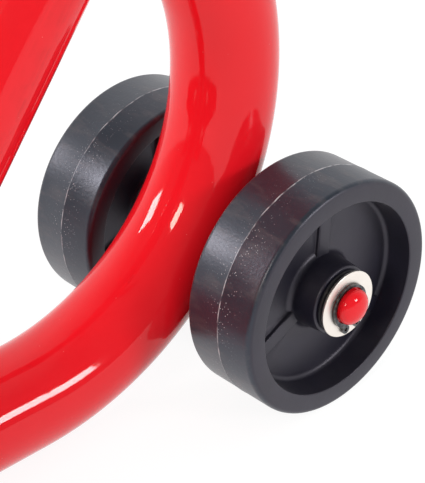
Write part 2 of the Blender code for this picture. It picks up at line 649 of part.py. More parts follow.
def make_wheel(name, side):
    """A wheel with its bushes, on an empty that sits on the axle's line."""
    hub = bpy.data.objects.new("wheel_centre_" + name, None)
    bpy.context.collection.objects.link(hub)
    hub.location = AXLE + Vector((side * WHEEL_X, 0, 0))
    wheel = add_object("wheel_" + name, lathe(wheel_outline(), WHEEL_SIDES), (BLACK, 0.0, 0.5), hub)
    spokes = add_cutter("add_spokes_" + name, merge_shapes(spoke_blocks()), hub)
    combine(wheel, spokes, "UNION")
    make_bush("bush_%s_outer" % name, hub, side)
    make_bush("bush_%s_inner" % name, hub, -side)


def circlip_outline():
    """The ring's outline as (radius, angle from the middle of its opening), eared at both ends."""
    inner = CIRCLIP_BORE
    reach = CIRCLIP_RADIUS + CIRCLIP_EAR_REACH
    ear_start = CIRCLIP_EAR_ANGLE - CIRCLIP_EAR_HALF
    ear_end = CIRCLIP_EAR_ANGLE + CIRCLIP_EAR_HALF
    ear = [(inner, ear_start), ((inner + reach) / 2, ear_start), (reach, (ear_start + CIRCLIP_EAR_ANGLE) / 2),
           (reach, (ear_end + CIRCLIP_EAR_ANGLE) / 2), (CIRCLIP_RADIUS, ear_end)]
    steps = 20
    back = [(CIRCLIP_RADIUS, ear_end + (math.tau - 2 * ear_end) * step / steps) for step in range(1, steps)]
    far_ear = [(radius, math.tau - angle) for radius, angle in reversed(ear)]
    inside = [(inner, math.tau - ear_start - (math.tau - 2 * ear_start) * step / steps)
              for step in range(1, steps)]
    return ear + back + far_ear + inside


def make_circlip(name, parent, side):
    """A spring ring in the axle's groove, with two drilled ears at its opening."""
    near = side * CIRCLIP_X
    shape = bmesh.new()
    corners = []
    for radius, angle in circlip_outline():
        turned = CIRCLIP_OPENING + angle
        corners.append(shape.verts.new((near, radius * math.cos(turned), radius * math.sin(turned))))
    run(shape, [shape.faces.new(corners)], (side * CIRCLIP_THICKNESS, 0, 0))
    ring = add_object("circlip_" + name, shape, (STEEL_DARK, 1.0, 0.4), parent)
    holes = []
    middle = (AXLE_RADIUS + CIRCLIP_RADIUS + CIRCLIP_EAR_REACH) / 2
    for way in (-1, 1):
        angle = CIRCLIP_OPENING + way * CIRCLIP_EAR_ANGLE
        y = middle * math.cos(angle)
        z = middle * math.sin(angle)
        holes.append(rod(CIRCLIP_HOLE_RADIUS, (near - side * CIRCLIP_THICKNESS, y, z),
                         (near + side * 2 * CIRCLIP_THICKNESS, y, z), 10))
    combine(ring, add_cutter("cut_ears_" + name, merge_shapes(holes), parent), "DIFFERENCE")


def make_axle_fittings(parent):
    bore = AXLE_RADIUS + GAP
    spacer_end = WHEEL_X - BUSH_END - GAP
    for name, side in (("left", -1), ("right", 1)):
        ring = [(side * SPACER_INNER_X, bore), (side * SPACER_INNER_X, SPACER_RADIUS),
                (side * spacer_end, SPACER_RADIUS), (side * spacer_end, bore)]
        add_object("axle_spacer_" + name, lathe(ring, ROUND_SIDES), (RED, 0.0, 0.3), parent)
        flat = [(side * WASHER_X, bore), (side * WASHER_X, WASHER_RADIUS),
                (side * (WASHER_X + WASHER_THICKNESS), WASHER_RADIUS),
                (side * (WASHER_X + WASHER_THICKNESS), bore)]
        add_object("axle_washer_" + name, lathe(flat, ROUND_SIDES), (ZINC, 1.0, 0.2), parent)
        make_circlip(name, parent, side)


# ---------------------------------------------------------------- the whole hand truck
def build():
    for old in list(bpy.data.objects):
        bpy.data.objects.remove(old, do_unlink=True)
    mast_frame = bpy.data.objects.new("mast_frame", None)
    bpy.context.collection.objects.link(mast_frame)
    mast_frame.location = MAST_BASE
    mast_frame.rotation_euler = (-MAST_LEAN, 0, 0)
    axle_line = bpy.data.objects.new("axle_line", None)
    bpy.context.collection.objects.link(axle_line)
    axle_line.location = AXLE

    make_mast(mast_frame)
    make_bow()
    make_brace()
    make_foot_plate(mast_frame)
    trim_toe_plate(make_toe_plate(), mast_frame)
    make_toe_fasteners(mast_frame)
    for place, height in REST_HEIGHTS.items():
        make_load_rest(place, height, mast_frame)
    make_handlebar(mast_frame)
    make_grips(mast_frame)
    make_mast_cap(mast_frame)
    make_axle(axle_line)
    make_axle_fittings(axle_line)
    make_wheel("left", -1)
    make_wheel("right", 1)
    bpy.context.view_layer.update()


build()
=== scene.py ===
"""Looks of a single-rail hand truck: glossy red tube, black moulded wheels and zinc-plated fittings.

Metres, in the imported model's frame: +Z up, +Y towards the person pushing, the axle along X.
Every piece is modelled where it sits, or near the origin along X and then put in its place.
"""
import json
import math

import bpy
from mathutils import Matrix, Vector


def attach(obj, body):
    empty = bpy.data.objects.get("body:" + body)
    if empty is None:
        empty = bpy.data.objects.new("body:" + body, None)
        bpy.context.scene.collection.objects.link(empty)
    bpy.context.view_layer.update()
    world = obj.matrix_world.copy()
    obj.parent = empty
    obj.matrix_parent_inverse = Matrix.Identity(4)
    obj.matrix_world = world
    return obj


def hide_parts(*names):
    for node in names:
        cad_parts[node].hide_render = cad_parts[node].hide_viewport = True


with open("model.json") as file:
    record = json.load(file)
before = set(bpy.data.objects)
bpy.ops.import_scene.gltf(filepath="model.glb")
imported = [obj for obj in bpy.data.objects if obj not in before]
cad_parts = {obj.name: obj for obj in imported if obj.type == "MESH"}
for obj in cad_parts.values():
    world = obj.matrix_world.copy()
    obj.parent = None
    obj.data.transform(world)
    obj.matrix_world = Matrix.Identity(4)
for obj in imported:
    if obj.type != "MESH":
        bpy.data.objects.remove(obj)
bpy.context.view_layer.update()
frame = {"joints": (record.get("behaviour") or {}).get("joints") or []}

# ---------------------------------------------------------------- sizes
# The main sizes are those of the part.
GAP = 0.0003
TUBE_RADIUS = 0.0212
TUBE_WALL = 0.0026
BEND_RADIUS = 0.1074
BOW_LEAN = math.radians(16.9)
BRACE_LEAN = math.radians(37.3)
MAST_LEAN = math.radians(10)
FOOT_REACH = 0.2215
BOW_FLOOR_CLEARANCE = 0.0038
MAST_FOOT = 0.0065
MAST_LENGTH = 1.115
WELD_GAP = 0.0005

# Wheel: WEB_DEPTH and SPOKE_DEPTH are measured from its side face, HUB_END from its middle.
WHEEL_RADIUS = 0.050
WHEEL_WIDTH = 0.034
WHEEL_X = 0.0462
WHEEL_EDGE_ROUND = 0.00225
RIM_WALL = 0.009
RIM_DRAFT = 0.0006
RECESS_FILLET = 0.0022
WEB_DEPTH = 0.0122
SPOKE_DEPTH = 0.0106
SPOKE_WIDTH = 0.007
SPOKE_COUNT = 3
SPOKE_ANGLE = math.radians(86)
SPOKE_FILLET = 0.0008
SPOKE_SINK = 0.0015
SPOKE_SEAT = 0.00003            # how far under the web the flare starts, so no two faces coincide
SPOKE_DRAFT = 0.0003
HUB_BORE = 0.01085
HUB_RADIUS = 0.0145
HUB_BASE_RADIUS = 0.0154
HUB_FILLET = 0.0028
HUB_END = 0.0173
PARTING_LINE = 0.00012
PARTING_LINE_HALF_WIDTH = 0.0003

# Axle, bushes, washers and circlips: an X is the distance from the middle plane.
AXLE_RADIUS = 0.008
AXLE_HALF = 0.0701
AXLE_DOME = 0.0042
AXLE_END_RADIUS = 0.0074
AXLE_WELD_BEAD = 0.00286
AXLE_WELD_REACH = 0.0085
AXLE_WELD_SPREAD = 0.0064
AXLE_WELD_RISE = 0.0014
GROOVE_DEPTH = 0.0012
GROOVE_NEAR_FLANK = 0.0001
GROOVE_FAR_FLANK = 0.0004
BUSH_BORE = 0.00835
BUSH_RADIUS = 0.01055
BUSH_LENGTH = 0.013
BUSH_FLANGE = 0.0009
BUSH_FLANGE_RADIUS = 0.0132
BUSH_END = HUB_END + GAP + BUSH_FLANGE
WASHER_X = 0.0650
WASHER_RADIUS = 0.014
WASHER_THICKNESS = 0.0025
WASHER_RIM = 0.0011
WASHER_SHOULDER_RADIUS = 0.0122
CIRCLIP_X = 0.0678
CIRCLIP_BORE = 0.0078
CIRCLIP_RADIUS = 0.0089
CIRCLIP_SWELL = 0.0012
CIRCLIP_THICKNESS = 0.0010
CIRCLIP_EAR_ANGLE = math.radians(17)
CIRCLIP_EAR_RADIUS = 0.0019
CIRCLIP_EAR_PLACE = 0.0105
CIRCLIP_HOLE_RADIUS = 0.0008
CIRCLIP_OPENING = math.radians(-84)
SPACER_RADIUS = 0.011
SPACER_INNER_X = 0.0125

# Toe plate and foot plate: TOE_BOLT_HEIGHTS and FOOT_PLATE_START are measured up the mast.
TOE_WIDTH = 0.300
TOE_DEPTH = 0.200
TOE_THICKNESS = 0.006
TOE_BEND = 0.010
TOE_UPSTAND = 0.115
TOE_UPSTAND_TOP_WIDTH = 0.150
TOE_SHOULDER_RISE = 0.055
TOE_CORNER = 0.028
FOOT_PLATE_WIDTH = 0.144
FOOT_PLATE_HEIGHT = 0.088
FOOT_PLATE_THICKNESS = 0.005
FOOT_PLATE_START = 0.026
FOOT_PLATE_CORNER = 0.010
FOOT_WELD_SPREAD = 0.0085
FOOT_WELD_RISE = 0.0018
FOOT_WELD_STOP = 0.006
TOE_BOLT_RADIUS = 0.005
TOE_BOLT_SPREAD = 0.050
TOE_BOLT_HEIGHTS = (0.046, 0.094)
TOE_BOLT_WASHER = 0.0016

# Bolts: ratios to the bolt's radius, but flat top, round crown, rim and socket depth to the head's sizes.
HEAD_RATIO = 2.0
HEAD_DOME_RATIO = 0.9
HEAD_FLAT_RATIO = 0.45
HEAD_ROUND_RATIO = 0.5
HEAD_RIM_RATIO = 0.2
SOCKET_RATIO = 0.62
SOCKET_DEPTH_RATIO = 0.55
THREAD_TURNS = 7
THREAD_PITCH_RATIO = 0.25
THREAD_ROOT_RATIO = 0.9
BOLT_POINT_RATIO = 0.88
NUT_HEIGHT_RATIO = 1.6
NUT_CORNER_RATIO = 1.9
NUT_CHAMFER_RATIO = 0.2
NUT_CORNER_SLOPE = 0.8
BOLT_TAIL = 0.002
FIRST_BOLT_TURN = 0.7
NEXT_BOLT_TURN = 1.9

# Load rests: REST_CURVE is the radius of the hollow side.
REST_WIDTH = 0.290
REST_HEIGHT = 0.055
REST_THICKNESS = 0.004
REST_CURVE = 0.240
REST_CORNER = 0.012
REST_BELOW_BOW = 0.169
REST_ABOVE_BOW = 0.231
REST_BOLT_RADIUS = 0.004
REST_BOLT_SPREAD = 0.0135
REST_BOLT_WASHER = 0.0014

# Handlebar, grips and the mast's cap.
BAR_RADIUS = 0.014
BAR_BELOW_TOP = 0.035
BAR_MIDDLE = 0.170
BAR_BEND_RADIUS = 0.050
BAR_SWEEP = math.radians(32)
BAR_END = 0.126
BAR_WALL = 0.002
GRIP_RADIUS = 0.0170
GRIP_LENGTH = 0.118
GRIP_END_WALL = 0.004
GRIP_COLLAR = 0.003
GRIP_COLLAR_LENGTH = 0.0045
GRIP_COLLAR_SLOPE = 0.0015
GRIP_GROOVES = 13
GRIP_GROOVE_DEPTH = 0.0010
GRIP_GROOVE_PITCH = 0.0068
GRIP_GROOVE_WIDTH = 0.0026
GRIP_FIRST_GROOVE = 0.016
GRIP_END_ROUND = 0.0046
CAP_FLANGE = 0.0035
CAP_DEPTH = 0.014
CAP_EDGE = 0.0012
CAP_CROWN = 0.0045
CAP_RIBS = 3
CAP_RIB_DEPTH = 0.001
CAP_RIB_PITCH = 0.004
CAP_RIB_WIDTH = 0.0024
CAP_FIRST_RIB = 0.0015
RIB_FLANK = 0.0006              # how far a groove's or a rib's side leans

# How finely the pieces are modelled, and the weld beads.
ROUND_SIDES = 96
SMALL_SIDES = 48
WHEEL_SIDES = 160
EDGE_ROUND = 0.0006
PLATE_EDGE_ROUND = 0.0009
TUBE_EDGE_ROUND = 0.0003
MERGE_DISTANCE = 0.000004
BEAD_MERGE_DISTANCE = 0.00001
WELD_BEAD = 0.0026
WELD_RIPPLE = 0.13
WELD_UNEVENNESS = 0.06

# ---------------------------------------------------------------- places
AXLE = Vector(frame["joints"][0]["pos_m"])
LEG_HEIGHT = BOW_FLOOR_CLEARANCE + TUBE_RADIUS
HEEL_HEIGHT = LEG_HEIGHT + BEND_RADIUS
AXLE_OFFSET = BEND_RADIUS + TUBE_RADIUS + GAP + AXLE_RADIUS
HEEL_REACH = math.sqrt(AXLE_OFFSET ** 2 - (HEEL_HEIGHT - AXLE.z) ** 2)
FOOT = Vector((0, AXLE.y - FOOT_REACH, LEG_HEIGHT))
HEEL_CENTRE = Vector((0, AXLE.y - HEEL_REACH, HEEL_HEIGHT))
HEEL_START = Vector((0, HEEL_CENTRE.y, LEG_HEIGHT))
HEEL_END = HEEL_CENTRE + BEND_RADIUS * Vector((0, math.cos(BOW_LEAN), math.sin(BOW_LEAN)))
MAST_WAY = Vector((0, math.sin(MAST_LEAN), math.cos(MAST_LEAN)))
BRACE_WAY = Vector((0, math.sin(BRACE_LEAN), math.cos(BRACE_LEAN)))
BOW_WAY = Vector((0, -math.sin(BOW_LEAN), math.cos(BOW_LEAN)))
MAST_BASE = FOOT - MAST_WAY * LEG_HEIGHT / math.cos(MAST_LEAN)
ON_MAST = Matrix.Translation(MAST_BASE) @ Matrix.Rotation(-MAST_LEAN, 4, "X")
ALONG_Y = Matrix.Rotation(math.pi / 2, 4, "Z")          # turns X to Y
ALONG_Z = Matrix.Rotation(-math.pi / 2, 4, "Y")         # turns X to Z
TOE_MIDDLE_DEPTH = TUBE_RADIUS + 2 * GAP + FOOT_PLATE_THICKNESS + TOE_THICKNESS / 2


def crossing(start, way, other_start, other_way):
    """Where two lines in the plane X = 0 meet."""
    offset = other_start - start
    across = way.y * other_way.z - way.z * other_way.y
    return start + way * (offset.y * other_way.z - offset.z * other_way.y) / across


BOW_TOP = crossing(HEEL_END, BOW_WAY, FOOT, MAST_WAY)
BRACE_TOP = crossing(FOOT, BRACE_WAY, HEEL_END, BOW_WAY)
BOW_TOP_HEIGHT = (BOW_TOP - MAST_BASE).dot(MAST_WAY)
REST_HEIGHTS = {"lower": BOW_TOP_HEIGHT - REST_BELOW_BOW, "upper": BOW_TOP_HEIGHT + REST_ABOVE_BOW}
BAR_HEIGHT = MAST_LENGTH - BAR_BELOW_TOP


# ---------------------------------------------------------------- node groups and materials
def feed(tree, socket, value):
    """Links a socket to another, or sets its value."""
    if isinstance(value, bpy.types.NodeSocket):
        tree.links.new(value, socket)
    else:
        socket.default_value = value


def add_node(tree, kind, settings=None, **inputs):
    """A shader node with its settings, and its inputs by name with _ for a space."""
    made = tree.nodes.new("ShaderNode" + kind)
    for key, value in (settings or {}).items():
        setattr(made, key, value)
    for key, value in inputs.items():
        feed(tree, made.inputs[key.replace("_", " ")], value)
    return made


def maths(tree, operation, first, second=0.5, third=0.5):
    """The result of a Math node."""
    made = tree.nodes.new("ShaderNodeMath")
    made.operation = operation
    for socket, value in zip(made.inputs, (first, second, third)):
        feed(tree, socket, value)
    return made.outputs[0]


def remap(tree, value, low, high, to_low=0.0, to_high=1.0):
    """A value's range stretched onto another, and held at its ends."""
    made = add_node(tree, "MapRange", None, Value=value, From_Min=low, From_Max=high, To_Min=to_low,
                    To_Max=to_high)
    return made.outputs["Result"]


def blend_colours(tree, factor, first, second):
    """The first colour at factor 0, the second at 1."""
    made = tree.nodes.new("ShaderNodeMix")
    made.data_type = "RGBA"
    feed(tree, made.inputs["Factor"], factor)
    feed(tree, made.inputs[6], first)
    feed(tree, made.inputs[7], second)
    return made.outputs[2]


def new_group(name, inputs, outputs):
    """An empty node group with named value sockets, and its two ends."""
    group = bpy.data.node_groups.new(name, "ShaderNodeTree")
    for label, default in inputs:
        socket = group.interface.new_socket(label, in_out="INPUT", socket_type="NodeSocketFloat")
        socket.default_value = default
    for label in outputs:
        group.interface.new_socket(label, in_out="OUTPUT", socket_type="NodeSocketFloat")
    start = group.nodes.new("NodeGroupInput")
    end = group.nodes.new("NodeGroupOutput")
    return group, start, end


def make_grain_group():
    """Fine surface grain: a height for bump, and a soft cloud for tone and gloss."""
    group, start, end = new_group("Grain", [("Scale", 400), ("Detail", 4), ("Cloud Scale", 18)],
                                  ["Height", "Cloud"])
    place = add_node(group, "TexCoord").outputs["Object"]
    fine = add_node(group, "TexNoise", None, Vector=place, Scale=start.outputs["Scale"],
                    Detail=start.outputs["Detail"], Roughness=0.55)
    cloud = add_node(group, "TexNoise", None, Vector=place, Scale=start.outputs["Cloud Scale"], Detail=3.0)
    feed(group, end.inputs["Height"], fine.outputs["Fac"])
    feed(group, end.inputs["Cloud"], remap(group, cloud.outputs["Fac"], 0.3, 0.7))
    return group


def make_edge_wear_group():
    """A mask of outer edges, broken up so that no edge is rubbed evenly."""
    group, start, end = new_group("Edge Wear", [("Low", 0.53), ("High", 0.60), ("Break Scale", 160)],
                                  ["Mask"])
    place = add_node(group, "TexCoord").outputs["Object"]
    edge = remap(group, add_node(group, "NewGeometry").outputs["Pointiness"], start.outputs["Low"],
                 start.outputs["High"])
    breaks = add_node(group, "TexNoise", None, Vector=place, Scale=start.outputs["Break Scale"], Detail=5.0)
    broken = remap(group, breaks.outputs["Fac"], 0.42, 0.62)
    feed(group, end.inputs["Mask"], maths(group, "MULTIPLY", edge, broken))
    return group


def make_dust_group():
    """Dust that settles on upward faces: a thin film, and separate specks."""
    group, start, end = new_group("Dust", [("Film", 0.3), ("Speck Scale", 900), ("Specks", 0.1)],
                                  ["Film", "Specks"])
    place = add_node(group, "TexCoord").outputs["Object"]
    normal = add_node(group, "NewGeometry").outputs["Normal"]
    up = remap(group, add_node(group, "SeparateXYZ", None, Vector=normal).outputs["Z"], -0.1, 0.9)
    cloud = add_node(group, "TexNoise", None, Vector=place, Scale=60.0, Detail=6.0, Roughness=0.65)
    film = maths(group, "MULTIPLY", up, remap(group, cloud.outputs["Fac"], 0.35, 0.75))
    feed(group, end.inputs["Film"], maths(group, "MULTIPLY", film, start.outputs["Film"]))
    cells = add_node(group, "TexVoronoi", None, Vector=place, Scale=start.outputs["Speck Scale"])
    dot = remap(group, cells.outputs["Distance"], 0.08, 0.25, 1.0, 0.0)
    tone = add_node(group, "SeparateColor", None, Color=cells.outputs["Color"]).outputs["Red"]
    chosen = maths(group, "LESS_THAN", tone, start.outputs["Specks"])
    feed(group, end.inputs["Specks"], maths(group, "MULTIPLY", dot, chosen))
    return group


GRAIN = make_grain_group()
EDGE_WEAR = make_edge_wear_group()
DUST = make_dust_group()


def place_group(tree, group, **inputs):
    """The outputs of a shared group placed in a material, with its inputs by name."""
    made = tree.nodes.new("ShaderNodeGroup")
    made.node_tree = group
    for key, value in inputs.items():
        feed(tree, made.inputs[key.replace("_", " ")], value)
    return made.outputs


def new_material(name):
    """A material with its tree and its shader."""
    made = bpy.data.materials.new(name)
    made.use_nodes = True
    return made, made.node_tree, made.node_tree.nodes["Principled BSDF"]


def bump(tree, shader, height, strength, distance):
    """Raises a material's surface by a height value."""
    made = add_node(tree, "Bump", None, Height=height, Strength=strength, Distance=distance)
    feed(tree, shader.inputs["Normal"], made.outputs["Normal"])


def make_red_paint():
    """Thick glossy stoving enamel with faint orange peel."""
    made, tree, shader = new_material("red_enamel")
    grain = place_group(tree, GRAIN, Scale=170, Detail=1.0, Cloud_Scale=9)
    dust = place_group(tree, DUST, Film=0.010, Speck_Scale=1100, Specks=0.006)
    wear = place_group(tree, EDGE_WEAR, Low=0.56, High=0.66)
    tone = blend_colours(tree, grain["Cloud"], (0.82, 0.009, 0.018, 1), (0.77, 0.008, 0.015, 1))
    worn = blend_colours(tree, wear["Mask"], tone, (0.52, 0.006, 0.008, 1))
    soil = maths(tree, "ADD", dust["Film"], maths(tree, "MULTIPLY", dust["Specks"], 0.25))
    feed(tree, shader.inputs["Base Color"], blend_colours(tree, soil, worn, (0.75, 0.62, 0.58, 1)))
    feed(tree, shader.inputs["Roughness"], remap(tree, grain["Cloud"], 0, 1, 0.045, 0.085))
    shader.inputs["IOR"].default_value = 1.40
    bump(tree, shader, grain["Height"], 0.06, 0.0006)
    return made


def make_wheel_rubber(name, centre):
    """Black moulded rubber: a dusty, scuffed tread with a pale parting line, and a dished side. The tread's
    colour is lighter and bluer than the side's, partly dust and partly a painted reflection; the side's
    near-black is the rubber's own black, darkened further as painted shade for the recess and hub.
    """
    made, tree, shader = new_material(name)
    place = add_node(tree, "TexCoord").outputs["Object"]
    local = add_node(tree, "Mapping", None, Vector=place, Location=-centre).outputs["Vector"]
    split = add_node(tree, "SeparateXYZ", None, Vector=local)
    round_axle = add_node(tree, "CombineXYZ", None, Y=split.outputs["Y"], Z=split.outputs["Z"])
    radius = add_node(tree, "VectorMath", {"operation": "LENGTH"}, Vector=round_axle.outputs["Vector"])
    tread = remap(tree, radius.outputs["Value"], WHEEL_RADIUS - 0.0016, WHEEL_RADIUS - 0.0006)
    grain = place_group(tree, GRAIN, Scale=700, Detail=5.0, Cloud_Scale=45)
    dust = place_group(tree, DUST, Film=0.03, Speck_Scale=1050, Specks=0.45)
    wear = place_group(tree, EDGE_WEAR, Low=0.54, High=0.62, Break_Scale=240)

    wander = add_node(tree, "TexNoise", None, Vector=local, Scale=55.0, Detail=2.0).outputs["Fac"]
    across = maths(tree, "ADD", split.outputs["X"], remap(tree, wander, 0.3, 0.7, -0.0004, 0.0004))
    away = maths(tree, "ABSOLUTE", across)
    line = remap(tree, away, 0.00005, 0.00036, 1.0, 0.0)
    line_breaks = add_node(tree, "TexNoise", None, Vector=local, Scale=190.0, Detail=4.0).outputs["Fac"]
    line = maths(tree, "MULTIPLY", line, remap(tree, line_breaks, 0.44, 0.60, 0.05, 0.75))
    band = remap(tree, away, 0.003, 0.012, 1.0, 0.0)
    patches = add_node(tree, "TexNoise", None, Vector=local, Scale=32.0, Detail=2.0).outputs["Fac"]
    patch = remap(tree, patches, 0.34, 0.54)
    specks = maths(tree, "MULTIPLY", maths(tree, "MULTIPLY", dust["Specks"], band), patch)
    marks = maths(tree, "MULTIPLY", maths(tree, "MAXIMUM", line, specks), tread)

    stretched = add_node(tree, "Mapping", None, Vector=local, Scale=(50.0, 170.0, 170.0)).outputs["Vector"]
    streaks = add_node(tree, "TexNoise", None, Vector=stretched, Scale=1.0, Detail=5.0, Roughness=0.65)
    scuff = maths(tree, "MULTIPLY", remap(tree, streaks.outputs["Fac"], 0.50, 0.72), tread)

    # Painted light: the side colour is the rubber's black darkened further as painted shade for the recess
    # and hub; the tread colour is partly dust and partly a painted reflection, lighter and bluer to stand for
    # the grey the tread mirrors and to offset the red it reflects from the tube.
    side = blend_colours(tree, grain["Cloud"], (0.0028, 0.0027, 0.0085, 1), (0.0062, 0.0056, 0.0150, 1))
    tread_dust_and_painted_reflection = blend_colours(tree, grain["Cloud"], (0.0060, 0.0145, 0.0240, 1), (0.0125, 0.0230, 0.0350, 1))
    body = blend_colours(tree, tread, side, tread_dust_and_painted_reflection)
    body = blend_colours(tree, dust["Film"], body, (0.30, 0.27, 0.25, 1))
    body = blend_colours(tree, maths(tree, "MULTIPLY", scuff, 0.10), body, (0.42, 0.36, 0.31, 1))
    body = blend_colours(tree, maths(tree, "MULTIPLY", wear["Mask"], 0.15), body, (0.18, 0.17, 0.19, 1))
    body = blend_colours(tree, maths(tree, "MULTIPLY", marks, 0.90), body, (0.70, 0.74, 0.76, 1))
    feed(tree, shader.inputs["Base Color"], body)
    rough = remap(tree, tread, 0, 1, 0.37, 0.29)
    rough = maths(tree, "ADD", rough, maths(tree, "MULTIPLY", streaks.outputs["Fac"], 0.12))
    feed(tree, shader.inputs["Roughness"], rough)
    shader.inputs["IOR"].default_value = 1.64
    tint = blend_colours(tree, tread, (0.92, 0.87, 1.0, 1), (0.88, 0.86, 1.0, 1))
    feed(tree, shader.inputs["Specular Tint"], tint)
    shader.inputs["Sheen Weight"].default_value = 0.05
    shader.inputs["Sheen Roughness"].default_value = 0.35
    shader.inputs["Sheen Tint"].default_value = (0.96, 0.93, 1.0, 1)
    relief = maths(tree, "ADD", grain["Height"], maths(tree, "MULTIPLY", streaks.outputs["Fac"], 1.6))
    relief = maths(tree, "MULTIPLY", relief, remap(tree, tread, 0, 1, 0.45, 1.0))
    bump(tree, shader, relief, 0.35, 0.00016)
    return made


def make_plated_steel():
    """Bright zinc plate with a soft cloudy passivation."""
    made, tree, shader = new_material("zinc_plate")
    grain = place_group(tree, GRAIN, Scale=1400, Detail=6.0, Cloud_Scale=120)
    wear = place_group(tree, EDGE_WEAR, Low=0.53, High=0.60, Break_Scale=500)
    tone = blend_colours(tree, grain["Cloud"], (0.93, 0.88, 0.82, 1), (0.89, 0.83, 0.77, 1))
    feed(tree, shader.inputs["Base Color"], blend_colours(tree, wear["Mask"], tone, (0.92, 0.91, 0.89, 1)))
    feed(tree, shader.inputs["Roughness"], remap(tree, grain["Cloud"], 0, 1, 0.36, 0.46))
    shader.inputs["Metallic"].default_value = 1.0
    bump(tree, shader, grain["Height"], 0.08, 0.00003)
    return made


def make_spring_steel():
    """Phosphated spring steel, dark and slightly oily."""
    made, tree, shader = new_material("spring_steel")
    grain = place_group(tree, GRAIN, Scale=2200, Detail=6.0, Cloud_Scale=200)
    wear = place_group(tree, EDGE_WEAR, Low=0.53, High=0.62, Break_Scale=700)
    tone = blend_colours(tree, grain["Cloud"], (0.045, 0.050, 0.055, 1), (0.070, 0.076, 0.080, 1))
    feed(tree, shader.inputs["Base Color"], blend_colours(tree, wear["Mask"], tone, (0.20, 0.20, 0.20, 1)))
    feed(tree, shader.inputs["Roughness"], remap(tree, grain["Cloud"], 0, 1, 0.26, 0.38))
    shader.inputs["Metallic"].default_value = 1.0
    bump(tree, shader, grain["Height"], 0.25, 0.00004)
    return made


def make_plastic(name, colour, light_colour, roughness, scale):
    """Moulded plastic or soft rubber with a fine spark-eroded grain."""
    made, tree, shader = new_material(name)
    grain = place_group(tree, GRAIN, Scale=scale, Detail=5.0, Cloud_Scale=70)
    dust = place_group(tree, DUST, Film=0.05, Speck_Scale=1200, Specks=0.03)
    wear = place_group(tree, EDGE_WEAR, Break_Scale=300)
    tone = blend_colours(tree, grain["Cloud"], colour, light_colour)
    tone = blend_colours(tree, maths(tree, "MULTIPLY", wear["Mask"], 0.15), tone, (0.14, 0.14, 0.14, 1))
    soil = maths(tree, "ADD", dust["Film"], maths(tree, "MULTIPLY", dust["Specks"], 0.2))
    feed(tree, shader.inputs["Base Color"], blend_colours(tree, soil, tone, (0.36, 0.34, 0.32, 1)))
    feed(tree, shader.inputs["Roughness"], remap(tree, grain["Cloud"], 0, 1, roughness, roughness + 0.1))
    bump(tree, shader, grain["Height"], 0.35, 0.00012)
    return made


# ---------------------------------------------------------------- modelling helpers
def start_clean():
    """Leaves edit mode and deselects everything, so that the next operator acts on new work only."""
    if bpy.context.object and bpy.context.object.mode == "EDIT":
        bpy.ops.object.mode_set(mode="OBJECT")
    bpy.ops.object.select_all(action="DESELECT")


def take(piece):
    """Selects one piece alone and makes it the active one."""
    start_clean()
    piece.select_set(True)
    bpy.context.view_layer.objects.active = piece


def edit(piece, mode="VERT"):
    """Opens one piece for editing with all of it selected."""
    take(piece)
    bpy.ops.object.mode_set(mode="EDIT")
    bpy.ops.mesh.select_mode(type=mode)
    bpy.ops.mesh.select_all(action="SELECT")


def name_new(name):
    """Names the object that the last operator made, and its mesh."""
    made = bpy.context.object
    made.name = name
    made.data.name = name
    return made


def settle(piece, placement=None):
    """Puts a piece in its place and leaves its object at the origin, unturned and unscaled."""
    take(piece)
    if placement is not None:
        piece.matrix_world = placement @ piece.matrix_world
    bpy.ops.object.transform_apply(location=True, rotation=True, scale=True)
    return piece


def apply_step(piece, kind, **settings):
    """Adds one modifier and applies it."""
    step = piece.modifiers.new(kind.lower(), kind)
    for key, value in settings.items():
        setattr(step, key, value)
    take(piece)
    bpy.ops.object.modifier_apply(modifier=step.name)


def cut(piece, *cutters, operation="DIFFERENCE"):
    """Cuts a piece with each cutter in turn, or joins them to it, and removes the cutters."""
    for cutter in cutters:
        apply_step(piece, "BOOLEAN", operation=operation, object=cutter, solver="EXACT")
        bpy.data.objects.remove(cutter)


def round_edges(piece, width=EDGE_ROUND, segments=3, angle=32):
    """Rounds every edge sharper than an angle in degrees."""
    apply_step(piece, "BEVEL", width=width, segments=segments, limit_method="ANGLE",
               angle_limit=math.radians(angle), harden_normals=False)


def rounded(corners, steps=6):
    """Points of an outline from (x, y, fillet) corners, with each fillet as an arc."""
    points = []
    for number, (x, y, fillet) in enumerate(corners):
        if not fillet:
            points.append((x, y))
            continue
        here = Vector((x, y))
        before = Vector(corners[number - 1][:2]) - here
        after = Vector(corners[(number + 1) % len(corners)][:2]) - here
        before.normalize()
        after.normalize()
        half = before.angle(after) / 2
        centre = here + (before + after).normalized() * fillet / math.sin(half)
        first = (here + before * fillet / math.tan(half) - centre).normalized()
        last = (here + after * fillet / math.tan(half) - centre).normalized()
        across = (last - first * last.dot(first)).normalized()
        sweep = math.pi - 2 * half
        for step in range(steps + 1):
            angle = sweep * step / steps
            points.append(tuple(centre + fillet * (first * math.cos(angle) + across * math.sin(angle))))
    return points


def merge_doubles(distance=MERGE_DISTANCE):
    """In edit mode, merges corners that coincide and turns all normals outwards."""
    bpy.ops.mesh.select_all(action="SELECT")
    bpy.ops.mesh.remove_doubles(threshold=distance)
    bpy.ops.mesh.normals_make_consistent(inside=False)


def draw_line(name, points, closed=False):
    """A chain of edges through 3-D points, grown from one corner."""
    start_clean()
    bpy.ops.mesh.primitive_plane_add(size=0.001, location=(0, 0, 0))
    made = name_new(name)
    edit(made)
    bpy.ops.mesh.merge(type="CENTER")
    bpy.ops.transform.translate(value=points[0])
    for here, there in zip(points, points[1:]):
        bpy.ops.mesh.extrude_region_move(TRANSFORM_OT_translate={"value": Vector(there) - Vector(here)})
    bpy.ops.mesh.select_all(action="SELECT")
    if closed:
        bpy.ops.mesh.edge_face_add()
    return made


